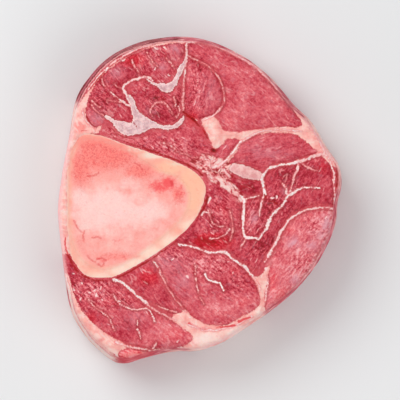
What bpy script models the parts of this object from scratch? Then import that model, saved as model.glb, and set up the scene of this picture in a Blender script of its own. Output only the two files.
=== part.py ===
"""A raw beef shank slice: lean muscles in their sheaths round a sawn shin bone that is full of marrow.

Metres, +Z up. The slice lies on its underside, and the origin is at the middle of that underside. The outlines are
what a look down on the upper cut shows, in millimetres, with +X to the right and +Y away from the viewer.
"""

import math

import bmesh
import bpy
import numpy as np

MM = 0.001

# Driving dimensions
SLICE_LENGTH = 121 * MM
SLICE_THICKNESS = 30 * MM
BONE_HEIGHT = 29.2 * MM
MARROW_HEIGHT = 28.8 * MM
GAP = 0.3 * MM

# The rim and the side of the slice; angles are in degrees round the origin, from +X towards +Y
RIM_RADIUS = 1.4 * MM
RIM_SEGMENTS = 3
RIM_ROUND = 1.3 * MM
BARREL = 0.7 * MM
SIDE_LUMP = 0.5 * MM
SIDE_LUMPS_ROUND = 7
SIDE_BAND = 9 * MM
UPPER_SLANT = (126, 26, 2.2 * MM)
LOWER_SLANT = (-124, 20, 2.6 * MM)
BONE_SIDE = 180
BONE_SIDE_HALF = 28
BONE_SIDE_FADE = 16

# How the cut faces swell and sink
MUSCLE_RISE = 0.8 * MM
MUSCLE_RISES = {
    "behind_bone": 0.5 * MM, "right_lens": 0.6 * MM, "wedge": 0.4 * MM, "under_strip": 0.4 * MM,
    "right_lower": 1.1 * MM, "lower_middle": 1.1 * MM, "lower_inner": 0.5 * MM, "tip": 0.4 * MM,
}
SEAM_DEPTH = 0.9 * MM
MUSCLE_RUN = 2.4 * MM
FAT_RISE = 0.7 * MM
FAT_RUN = 1.5 * MM
BONE_DIP = 0.7 * MM
BONE_DIP_RUN = 1.6 * MM
CLEFT_DEPTH = 1.9 * MM
CLEFT_HALF_WIDTH = 1.7 * MM
REST_RECESS = 0.6 * MM
REST_RUN = 2.2 * MM
FACE_DEPTH = 7 * MM

# The sawn bone
BONE_EDGE = 0.5 * MM
MARROW_EDGE = 0.9 * MM

# Fineness of the solids
VOXEL = 1.05 * MM
SMOOTH_PASSES = 4
MEAT_TRIANGLES = 9800
OUTLINE_STEPS = 4

# Outlines read on the upper cut, in millimetres
SLICE = [
    (-52.5, -4.5), (-51.5, 6.5), (-50, 16), (-48, 25), (-46.5, 33), (-44, 40), (-39, 47.5), (-32, 53.5),
    (-22.5, 58), (-14, 60), (-7, 60.5), (1, 59.5), (9.5, 56.5), (19.5, 51), (27.5, 44), (34.5, 35.5),
    (41.5, 28.5), (47.5, 18.5), (51.5, 13), (52.5, 6), (51, -1), (50.5, -7.5), (48, -15), (42.5, -25),
    (35.5, -33.5), (26.5, -41), (16.5, -47.5), (8, -52.5), (-0.5, -55.5), (-9.5, -56), (-17, -57.5),
    (-22.5, -59), (-27.5, -60.5), (-32.5, -59.5), (-38.5, -54), (-43, -48.5), (-47, -41.5), (-49, -30.5),
    (-51, -17.5),
]
BONE = [
    (-49.5, 0.5), (-49.5, 11), (-48, 20), (-44, 24.5), (-37.5, 24.5), (-29.5, 21.5), (-20, 18), (-10.5, 14.5),
    (-3, 11), (1.5, 7), (2, 2), (0, -4), (-4, -10), (-10.5, -15.5), (-19, -21.5), (-27.5, -26.5), (-33, -29),
    (-39, -29.5), (-44.5, -27), (-48.5, -20), (-49.5, -10.5),
]
MARROW = [
    (-47.5, 0.5), (-47.5, 9.5), (-46, 17), (-43, 21.5), (-37, 21.5), (-29.5, 18.5), (-22, 14.5), (-15.5, 10.5),
    (-8, 7.5), (-4.5, 3), (-5, -3), (-9.5, -9), (-16.5, -15), (-24.5, -21), (-32, -24.5), (-38.5, -24.5),
    (-44, -20.5), (-46.5, -14), (-47.5, -7),
]
MUSCLES = {
    "upper_left": [
        (-6, 57), (-13, 57), (-20, 55), (-26, 52.5), (-32, 48.5), (-37, 44), (-40, 38.5), (-42, 33), (-41.5, 29),
        (-39, 26.5), (-36, 28), (-34.5, 30), (-29.5, 29.5), (-25.5, 28.5), (-26, 34.5), (-28.5, 39), (-28, 42),
        (-23.5, 45), (-19.5, 45.5), (-16, 43.5), (-12, 44), (-9, 48), (-6.5, 52.5),
    ],
    "hook_centre": [
        (-21.5, 44), (-17.5, 42), (-14, 40), (-11, 39.5), (-9, 41.5), (-7, 40), (-8, 33), (-8.5, 29.5), (-13, 28),
        (-16.5, 29), (-20.5, 31.5), (-23, 35), (-26, 39.5), (-25, 42.5),
    ],
    "behind_bone": [
        (-36, 26), (-32.5, 26.5), (-30.5, 24.5), (-25.5, 23), (-20.5, 24), (-16.5, 25.5), (-12, 25), (-7.5, 26.5),
        (-5, 28.5), (-1.5, 26.5), (2, 22.5), (3.5, 19), (2.5, 15.5), (-1, 14.5), (-7, 15), (-14, 17.5),
        (-22.5, 20.5), (-29.5, 23),
    ],
    "upper_middle": [
        (-4.5, 52.5), (0, 50), (5, 47), (8, 42), (8.5, 37.5), (6.5, 33), (4, 31), (-0.5, 30), (-4, 31.5), (-6, 35),
        (-5.5, 43.5),
    ],
    "upper_right": [
        (-4, 58), (3, 57), (11.5, 53.5), (20, 48.5), (27, 42), (33, 35), (38, 28), (36, 26), (29.5, 26), (22.5, 25),
        (15.5, 24), (11, 24), (8, 26.5), (7, 31), (9, 35.5), (9, 41.5), (6, 47.5), (1, 51), (-3.5, 53.5),
    ],
    "right_lens": [
        (15, 20.5), (19.5, 22.5), (25.5, 23.5), (32.5, 23.5), (38, 22), (41, 19.5), (42.5, 17.5), (38.5, 16),
        (33.5, 14.5), (28, 13.5), (23.5, 11.5), (18.5, 12.5), (14.5, 14), (12, 15.5), (12.5, 18),
    ],
    "wedge": [(10, 22), (13.5, 22), (12.5, 19.5), (10, 16), (6.5, 14.5), (5.5, 16), (7, 18.5)],
    "right_upper": [
        (24, 8.5), (26, 11), (30, 12), (35, 13), (39.5, 14.5), (44.5, 16), (48, 13), (49, 7.5), (49.5, 1.5),
        (50, -1.5), (44.5, -1.5), (39, -2.5), (35, -4.5), (31.5, -7.5), (29, -12), (26, -17.5), (23.5, -21.5),
        (21, -25.5), (16.5, -23), (11, -18.5), (11.5, -14.5), (14, -11), (15, -4.5), (15.5, 0.5), (19.5, 1),
        (22.5, 1.5),
    ],
    "under_strip": [(11.5, 8), (17, 7), (22, 7), (22.5, 3), (18.5, 2), (16, 2), (12.5, 5)],
    "beside_bone": [
        (4, 6.5), (8, 6), (11.5, 2), (13.5, -2), (13.5, -9), (10.5, -14), (8, -17.5), (2.5, -18), (-3, -16.5),
        (-8, -15.5), (-4, -11), (0, -5), (2.5, 0.5),
    ],
    "right_lower": [
        (49.5, -4.5), (44.5, -4), (39.5, -4.5), (36, -6.5), (33, -9.5), (31, -12.5), (29, -17), (26.5, -21),
        (25.5, -26), (24.5, -30.5), (24.5, -36), (25, -40.5), (29.5, -38), (35.5, -32.5), (41, -26), (45.5, -19),
        (49, -12),
    ],
    "lower_middle": [
        (-16, -23), (-12, -19.5), (-6, -18), (-0.5, -19), (5, -20.5), (9, -20), (13.5, -23), (17.5, -27),
        (20.5, -30.5), (21.5, -36), (21, -40), (16.5, -42.5), (11.5, -45.5), (6, -46.5), (1, -45.5), (-3.5, -42.5),
        (-7.5, -37.5), (-12, -32), (-14.5, -27.5),
    ],
    "lower_inner": [
        (-26.5, -28.5), (-22, -25.5), (-18.5, -23.5), (-16, -27), (-13.5, -32), (-10, -37), (-6.5, -41),
        (-10.5, -41.5), (-16, -38.5), (-20.5, -35.5), (-25, -32),
    ],
    "lower_left": [
        (-48, -25.5), (-44, -29), (-38.5, -31), (-32.5, -31), (-28, -33.5), (-22.5, -38), (-17, -41.5), (-11, -45),
        (-6, -47.5), (-2.5, -50.5), (-4.5, -53.5), (-11, -55), (-17.5, -55), (-25, -53.5), (-32, -50.5),
        (-38.5, -46.5), (-43.5, -41), (-46.5, -34),
    ],
    "tip": [(-30, -56), (-26, -55), (-21.5, -55.5), (-18.5, -56.5), (-22.5, -58.5), (-26.5, -59.5), (-29, -58)],
}
CLEFT = [(-5.5, 32), (-2, 30), (0.5, 27.5), (3, 23.5), (5, 18.5)]


# Curves and distances in the plane of the cut

def smooth_line(points, closed, steps=OUTLINE_STEPS):
    """A Catmull-Rom curve through the points, as an array of steps points for each span."""
    knots = np.array(points, float)
    if closed:
        knots = np.vstack([knots[-1:], knots, knots[:2]])
    else:
        knots = np.vstack([knots[:1], knots, knots[-1:]])
    t = (np.arange(steps) / steps)[:, None]
    spans = []
    for a, b, c, d in zip(knots[:-3], knots[1:-2], knots[2:-1], knots[3:]):
        spans.append(0.5 * (2 * b + (c - a) * t + (2 * a - 5 * b + 4 * c - d) * t**2 + (3 * b - a - 3 * c + d) * t**3))
    if not closed:
        spans.append(knots[-1:])
    return np.vstack(spans)


def drawing_frame():
    """Scale from drawn millimetres to metres, and the drawn point that becomes the origin."""
    outline = smooth_line(SLICE, True)
    low, high = outline.min(0), outline.max(0)
    return SLICE_LENGTH / (high[1] - low[1]), (low + high) / 2


DRAWN_SCALE, DRAWN_MIDDLE = drawing_frame()


def loop_in_metres(points, grow=0.0, steps=OUTLINE_STEPS):
    """A closed smooth outline in metres, moved outwards by grow."""
    loop = (smooth_line(points, True, steps) - DRAWN_MIDDLE) * DRAWN_SCALE
    along = np.roll(loop, -1, 0) - np.roll(loop, 1, 0)
    along /= np.linalg.norm(along, axis=1)[:, None]
    area = np.sum(loop[:, 0] * np.roll(loop[:, 1], -1) - loop[:, 1] * np.roll(loop[:, 0], -1))
    outwards = np.column_stack([along[:, 1], -along[:, 0]]) * math.copysign(1, area)
    return loop + outwards * grow


def distance_to_line(points, line):
    """The distance of each point from a chain of straight pieces."""
    nearest = np.full(len(points), np.inf)
    for a, b in zip(line[:-1], line[1:]):
        run = b - a
        share = np.clip((points - a) @ run / max(run @ run, 1e-18), 0, 1)
        nearest = np.minimum(nearest, np.linalg.norm(points - a - share[:, None] * run, axis=1))
    return nearest


def depth_inside(points, loop):
    """The distance of each point from a closed outline, positive inside it and negative outside."""
    closed = np.vstack([loop, loop[:1]])
    inside = np.zeros(len(points), bool)
    for a, b in zip(closed[:-1], closed[1:]):
        if a[1] == b[1]:
            continue
        crosses = (a[1] > points[:, 1]) != (b[1] > points[:, 1])
        at = a[0] + (points[:, 1] - a[1]) * (b[0] - a[0]) / (b[1] - a[1])
        inside ^= crosses & (points[:, 0] < at)
    return np.where(inside, 1, -1) * distance_to_line(points, closed)


def smoothstep(low, high, value):
    """0 up to low, 1 from high, and a smooth rise between them."""
    t = np.clip((value - low) / (high - low), 0, 1)
    return t * t * (3 - 2 * t)


# Objects from Blender's tools

def collection(name):
    made = bpy.data.collections.new(name)
    bpy.context.scene.collection.children.link(made)
    return made


def material(name, colour, roughness):
    made = bpy.data.materials.new(name)
    made.use_nodes = True
    shader = made.node_tree.nodes["Principled BSDF"]
    shader.inputs["Base Color"].default_value = (*colour, 1)
    shader.inputs["Roughness"].default_value = roughness
    shader.inputs["Metallic"].default_value = 0
    return made


def evaluated_mesh(piece):
    """The piece's mesh with its modifiers applied."""
    bpy.context.view_layer.update()
    return bpy.data.meshes.new_from_object(piece.evaluated_get(bpy.context.evaluated_depsgraph_get()))


def apply_modifiers(piece):
    mesh = evaluated_mesh(piece)
    piece.modifiers.clear()
    piece.data = mesh


def plate(name, loops, bottom, top, home):
    """A flat outline, with its holes, made as thick as from bottom to top."""
    curve = bpy.data.curves.new(name, "CURVE")
    curve.dimensions = "2D"
    curve.fill_mode = "BOTH"
    curve.extrude = (top - bottom) / 2
    for loop in loops:
        spline = curve.splines.new("POLY")
        spline.points.add(len(loop) - 1)
        spline.points.foreach_set("co", np.column_stack([loop, np.zeros(len(loop)), np.ones(len(loop))]).ravel())
        spline.use_cyclic_u = True
    drawn = bpy.data.objects.new(name + "_outline", curve)
    drawn.location.z = (top + bottom) / 2
    home.objects.link(drawn)
    made = bpy.data.objects.new(name, evaluated_mesh(drawn))
    made.data.transform(drawn.matrix_world)
    home.objects.link(made)
    bpy.data.objects.remove(drawn)
    weld = bmesh.new()
    weld.from_mesh(made.data)
    bmesh.ops.remove_doubles(weld, verts=weld.verts, dist=0.01 * MM)
    weld.to_mesh(made.data)
    weld.free()
    return made


def round_edges(piece, width, segments):
    bevel = piece.modifiers.new("rounded edges", "BEVEL")
    bevel.width = width
    bevel.segments = segments
    bevel.limit_method = "ANGLE"
    bevel.angle_limit = math.radians(60)


# The form of the meat

def side_slant(angle):
    """How far the upper rim stands in from the widest outline, at an angle round the slice in degrees."""
    inset = np.zeros(len(angle))
    for middle, spread, most in (UPPER_SLANT, LOWER_SLANT):
        off = (angle - middle + 180) % 360 - 180
        inset += most * np.exp(-((off / spread) ** 2))
    return inset


def beyond_bone_side(angle):
    """0 beside the bone, where only a thin sheath covers it, and 1 round the rest of the side."""
    off = np.abs((angle - BONE_SIDE + 180) % 360 - 180)
    return smoothstep(BONE_SIDE_HALF, BONE_SIDE_HALF + BONE_SIDE_FADE, off)


def shape_side(points):
    """Leans, rounds and lumps the side of the blank, then fits its widest points to the drawn outline."""
    plan = points[:, :2]
    rim = loop_in_metres(SLICE)
    near_rim = 1 - smoothstep(0, SIDE_BAND, depth_inside(plan, rim))
    angle = np.degrees(np.arctan2(plan[:, 1], plan[:, 0]))
    height = points[:, 2] / SLICE_THICKNESS
    off_middle = np.abs(2 * height - 1)
    rounding = BARREL * off_middle**2 + RIM_ROUND * off_middle**8
    wave = np.sin(np.radians(angle) * SIDE_LUMPS_ROUND + 5 * height)
    lump = SIDE_LUMP * wave * np.sin(math.pi * height)
    push = (lump - rounding) * beyond_bone_side(angle) - side_slant(angle) * height**1.5
    outwards = plan / np.linalg.norm(plan, axis=1).clip(MM)[:, None]
    plan += outwards * (push * near_rim)[:, None]
    low, high = rim.min(0), rim.max(0)
    plan[:] = low + (plan - plan.min(0)) * (high - low) / np.ptp(plan, axis=0)


def muscle_relief(plan):
    """How deep each point lies inside a muscle, negative between muscles, and how far that muscle swells there."""
    depth = np.full(len(plan), -np.inf)
    swell = np.zeros(len(plan))
    for name, outline in MUSCLES.items():
        inside = depth_inside(plan, loop_in_metres(outline))
        most = SEAM_DEPTH + MUSCLE_RISES.get(name, MUSCLE_RISE)
        swell = np.maximum(swell, most * (1 - np.exp(-inside.clip(0) / MUSCLE_RUN)))
        depth = np.maximum(depth, inside)
    return depth, swell


def shape_faces(points):
    """Swells the muscles and sinks the seams on the upper cut, and recesses the seams under flat muscles below."""
    plan = points[:, :2]
    depth, swell = muscle_relief(plan)
    fat = FAT_RISE * (1 - np.exp(-(-depth).clip(0) / FAT_RUN))
    upper = swell + fat - SEAM_DEPTH - max(MUSCLE_RISES.values())
    from_bone = -depth_inside(plan, loop_in_metres(BONE))
    upper -= BONE_DIP * np.exp(-from_bone.clip(0) / BONE_DIP_RUN)
    cleft = (smooth_line(CLEFT, False) - DRAWN_MIDDLE) * DRAWN_SCALE
    upper -= CLEFT_DEPTH * (1 - smoothstep(0, CLEFT_HALF_WIDTH, distance_to_line(plan, cleft)))
    lower = REST_RECESS * (1 - smoothstep(0, REST_RUN, depth))
    height = points[:, 2].copy()
    points[:, 2] += upper * smoothstep(SLICE_THICKNESS - FACE_DEPTH, SLICE_THICKNESS, height)
    points[:, 2] += lower * (1 - smoothstep(0, FACE_DEPTH, height))
    points[:, 2] = points[:, 2].clip(0, SLICE_THICKNESS)


def make_meat(home, cutters):
    """All the lean, fat and sheaths as one solid, with the hole that the bone fills."""
    meat = plate("meat", [loop_in_metres(SLICE)], 0, SLICE_THICKNESS, home)
    round_edges(meat, RIM_RADIUS, RIM_SEGMENTS)
    fine = meat.modifiers.new("even faces", "REMESH")
    fine.mode = "VOXEL"
    fine.voxel_size = VOXEL
    soft = meat.modifiers.new("soft rim", "SMOOTH")
    soft.iterations = SMOOTH_PASSES
    apply_modifiers(meat)

    points = np.empty(len(meat.data.vertices) * 3)
    meat.data.vertices.foreach_get("co", points)
    points = points.reshape(-1, 3)
    points[:, 2] = np.where(points[:, 2] < VOXEL / 2, 0, points[:, 2]).clip(0, SLICE_THICKNESS)
    shape_side(points)
    shape_faces(points)
    meat.data.vertices.foreach_set("co", points.ravel())
    meat.data.update()

    fewer = meat.modifiers.new("fewer faces", "DECIMATE")
    fewer.ratio = MEAT_TRIANGLES / (2 * len(meat.data.polygons))
    apply_modifiers(meat)

    hole = plate("bone_hole", [loop_in_metres(BONE, GAP)], -SLICE_THICKNESS, 2 * SLICE_THICKNESS, cutters)
    hole.hide_render = True
    hole.display_type = "WIRE"
    cut = meat.modifiers.new("hole for the bone", "BOOLEAN")
    cut.operation = "DIFFERENCE"
    cut.object = hole
    return meat


def make_bone(home):
    """The wall of the shin bone, a sawn ring."""
    loops = [loop_in_metres(BONE, steps=3), loop_in_metres(MARROW, steps=3)]
    bone = plate("bone", loops, 0, BONE_HEIGHT, home)
    round_edges(bone, BONE_EDGE, 2)
    return bone


def make_marrow(home):
    """The spongy bone and marrow that fill the ring."""
    marrow = plate("marrow", [loop_in_metres(MARROW, -GAP, 3)], 0, MARROW_HEIGHT, home)
    round_edges(marrow, MARROW_EDGE, 3)
    return marrow


def main():
    for old in list(bpy.data.objects):
        bpy.data.objects.remove(old)
    home = collection("beef_shank")
    cutters = collection("cutters")
    pieces = (
        (make_meat(home, cutters), material("lean_meat", (0.60, 0.10, 0.12), 0.35)),
        (make_bone(home), material("sawn_bone", (0.90, 0.68, 0.48), 0.5)),
        (make_marrow(home), material("marrow", (0.90, 0.48, 0.42), 0.45)),
    )
    for piece, finish in pieces:
        piece.data.materials.clear()
        piece.data.materials.append(finish)
        piece.data.shade_smooth()
        piece.data.set_sharp_from_angle(angle=math.radians(40))


main()
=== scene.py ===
"""The looks of a raw beef shank slice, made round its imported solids.

Metres, +Z up, in the frame of the solids. Outlines and lines on the cut are drawn in millimetres from the
middle of the slice, with +X to the right and +Y away from the viewer. Each point of the meat carries its
place in the cut as attributes: how deep it lies in a muscle, a white strand, a patch of fat and so on. The
materials colour by those.
"""

import math

import bmesh
import bpy
import numpy as np
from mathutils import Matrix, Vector, noise


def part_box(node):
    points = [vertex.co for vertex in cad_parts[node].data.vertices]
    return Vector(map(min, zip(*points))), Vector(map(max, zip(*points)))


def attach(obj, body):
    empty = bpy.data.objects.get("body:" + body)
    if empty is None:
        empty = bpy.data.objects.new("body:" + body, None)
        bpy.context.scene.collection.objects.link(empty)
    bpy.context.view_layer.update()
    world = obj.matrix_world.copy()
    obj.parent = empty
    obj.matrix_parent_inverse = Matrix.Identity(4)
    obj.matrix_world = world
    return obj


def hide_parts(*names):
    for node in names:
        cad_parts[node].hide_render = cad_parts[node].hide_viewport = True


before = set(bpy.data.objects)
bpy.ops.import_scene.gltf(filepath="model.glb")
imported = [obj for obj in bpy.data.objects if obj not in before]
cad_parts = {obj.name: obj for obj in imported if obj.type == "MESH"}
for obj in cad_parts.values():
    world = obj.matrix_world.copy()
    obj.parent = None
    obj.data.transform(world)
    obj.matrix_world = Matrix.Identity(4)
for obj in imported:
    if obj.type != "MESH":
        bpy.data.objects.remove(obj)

# Blender's noise vectors start from the clock unless they are given a seed
noise.seed_set(5)

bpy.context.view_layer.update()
MM = 0.001

# Driving dimensions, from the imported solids
MEAT_LOW, MEAT_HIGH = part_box("meat")
SLICE_LENGTH = MEAT_HIGH.y - MEAT_LOW.y
SLICE_THICKNESS = MEAT_HIGH.z
BONE_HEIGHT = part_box("bone")[1].z
MEAT_OVERLAP = 1.5 * MM
MARROW_OVERLAP = 1.6 * MM

# The rims and the side of the slice; angles are in degrees round the origin, from +X towards +Y
RIM_RADIUS = 1.1 * MM
BONE_RIM_RADIUS = 0.4 * MM
BONE_EDGE = 0.3 * MM
MARROW_EDGE = 0.12 * MM
RIM_ROUND = 0.9 * MM
BARREL = 0.7 * MM
SIDE_LUMP = 0.5 * MM
SIDE_LUMPS_ROUND = 7
SIDE_LUMP_TWIST = 5
SIDE_BAND = 9 * MM
# Where the side leans most, how wide it leans, and by how much
UPPER_SLANT = (126, 26, 2.2 * MM)
LOWER_SLANT = (-124, 20, 2.6 * MM)
# The share of each slant by which the foot of the side stands out past the drawn outline, and the power of
# the height by which the lean grows
SLANT_FOOT = 0.6
SLANT_POWER = 1.5
BONE_SIDE = 180
BONE_SIDE_HALF = 28
BONE_SIDE_FADE = 16
# The side is fitted to the drawn outline in this many steps round, each evened out with some on either hand
ANGLES = 240
EVENED = 3
FIT_STEPS = 60

# Where the side shows in layers from above, at the upper left and the lower left
UPPER_LAYERS = (93, 101, 134, 150)
LOWER_LAYERS = (-156, -142, -122, -112)
# How far below the upper cut those layers begin to fade, and where they are gone
LAYERS_WHOLE = 6 * MM
LAYERS_GONE = 16 * MM
# Where the skin of the side sets in above the foot, where it ends below the upper cut and in from the rim
SKIN_FOOT = (0.5 * MM, 2 * MM)
SKIN_TOP = (-2.8 * MM, -1.4 * MM)
SKIN_DEPTH = (3 * MM, 6 * MM)

# How the cut faces swell and sink
SEAM_DEPTH = 0.7 * MM
MUSCLE_RUN = 2.4 * MM
FAT_RISE = 0.7 * MM
FAT_RUN = 1.5 * MM
BONE_STEP = 0.45 * MM
BONE_STEP_RUN = 1.8 * MM
BONE_GAP = 0.35 * MM
BONE_GAP_RUN = (-0.4 * MM, 0.3 * MM)
CLEFT_DEPTH = 0.3 * MM
CLEFT_HALF_WIDTH = 0.6 * MM
REST_RECESS = 0.6 * MM
REST_RUN = 2.2 * MM
FACE_DEPTH = 7 * MM
# How far the muscles stray sideways below the upper cut, and over what length
SWAY = 3 * MM
SWAY_SIZE = 9 * MM

# The fine relief of the cut
UNEVENNESS = 0.16 * MM
BUNDLE_RELIEF = 0.07 * MM
FIBRE_RELIEF = 0.05 * MM
STRAND_RISE = 0.12 * MM
CREASE_SINK = 0.25 * MM
TENDON_RISE = 0.3 * MM
FAT_LUMP = 0.25 * MM
# Fibres are longer through the slice than across it, so their noise is read with the height shrunk
ALONG_FIBRES = (1, 1, 0.3)

# The saw cut of the bone: how far down it is shaped, how far it is lowered and how far it waves
SAW_BAND = 3 * MM
SAW_SINK = 0.12 * MM
SAW_WAVE = 0.1 * MM
# The marrow's cut in mm: how far it sinks in the middle, laps up at the wall and dips under it, and its waves
MARROW_SINK = 0.2
MARROW_LAP = 0.04
MARROW_DIP = 0.12
MARROW_WAVE = 0.1
MARROW_RIPPLE = 0.06

# Fineness of the meshes
VOXEL = 0.94 * MM
BONE_VOXEL = 0.6 * MM
RIM_SEGMENTS = 4
SMOOTH_PASSES = 4
BONE_SMOOTH_PASSES = 1
OUTLINE_STEPS = 4
BONE_STEPS = 6
WELD = 0.01 * MM
SHARP_EDGE = math.radians(60)
# Faces that look up or down by more than this share, near the upper cut or a strand, are made finer
LEVEL = 0.5
FINE_BAND = 2 * MM
STRAND_REACH = 0.45 * MM

# How far round a muscle, a patch or a line the points are measured
MUSCLE_REACH = 6 * MM
PATCH_REACH = 4 * MM
LINE_REACH = 3 * MM
# How lines stray from their drawn course: over what length, and how far
STRAND_STRAY = ((2.6 * MM, 0.32 * MM), (0.9 * MM, 0.2 * MM))
CREASE_STRAY = ((1.8 * MM, 0.25 * MM),)
# How softly the pinkness of one muscle runs into the next, and how much it rises in the pinker zones
PINK_BLEND = 0.8 * MM
PINKER_BY = 0.17

# How brightly the scene's light shows a level matt surface, and what the wet gloss adds to that
LIGHT = 0.97
GLOSS = 0.014
# How far red, green and blue light go into the flesh, set against each other, and how wet surfaces shine
FLESH_RADIUS = (1.0, 0.35, 0.25)
WET_SPECULAR = 0.22
COAT_ROUGHNESS = 0.14

# The camera and the studio: the lamps' names, places and watts
LENS = 1200
SENSOR = 36
NEAREST = 0.01
SHARE_OF_FRAME = 0.82
FLOOR_SIZE = 6
SKY = 0.54
LAMP_SIZE = 0.7
LAMPS = (("key", (-0.45, 0.45, 0.75), 4.9), ("fill", (0.48, -0.42, 0.7), 2.1))

# Outlines on the cut, in millimetres
SLICE = [
    (-52.5, -4.5), (-51.5, 6.5), (-50, 16), (-48.2, 25), (-46.9, 33), (-44.6, 40), (-39.4, 47.7),
    (-32.3, 54), (-22.7, 58.4), (-14, 60.1), (-7, 60.5), (1, 59.5), (9.5, 56.5), (19.5, 51), (27.5, 44),
    (34.5, 35.5), (41.5, 28.5), (47.5, 18.5), (51.5, 13), (52.5, 6), (51, -1), (50.5, -7.5), (48, -15),
    (42.5, -25), (35.5, -33.5), (26.5, -41), (16.5, -47.7), (8, -52.9), (-0.5, -56), (-9.5, -56.2),
    (-17, -57.5), (-22.5, -59), (-27.5, -60.5), (-32.5, -59.6), (-39.2, -54.2), (-43.7, -48.8),
    (-47.6, -41.7), (-49.8, -30.7), (-51.3, -17.5),
]
BONE = [
    (-49.5, 0.5), (-49.5, 11), (-48, 20), (-44, 24.5), (-37.5, 24.5), (-29.5, 21.8), (-20, 18.5),
    (-10.4, 15.1), (-2.8, 11.6), (1.9, 7.2), (2.5, 2), (0.4, -4.2), (-3.7, -10.4), (-10.2, -16),
    (-18.8, -22), (-27.4, -26.9), (-33, -29.1), (-39, -29.3), (-44.3, -26.8), (-48.5, -20), (-49.5, -10.5),
]
MARROW = [
    (-47.5, 0.5), (-47.5, 9.5), (-46, 17), (-43, 21.5), (-37, 21.5), (-29.5, 18.5), (-22, 14.5),
    (-15.5, 10.5), (-8, 7.5), (-4.5, 3), (-5, -3), (-9.5, -9), (-16.5, -15), (-24.5, -21), (-32, -24.5),
    (-38.5, -24.5), (-44, -20.5), (-46.5, -14), (-47.5, -7),
]

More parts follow.
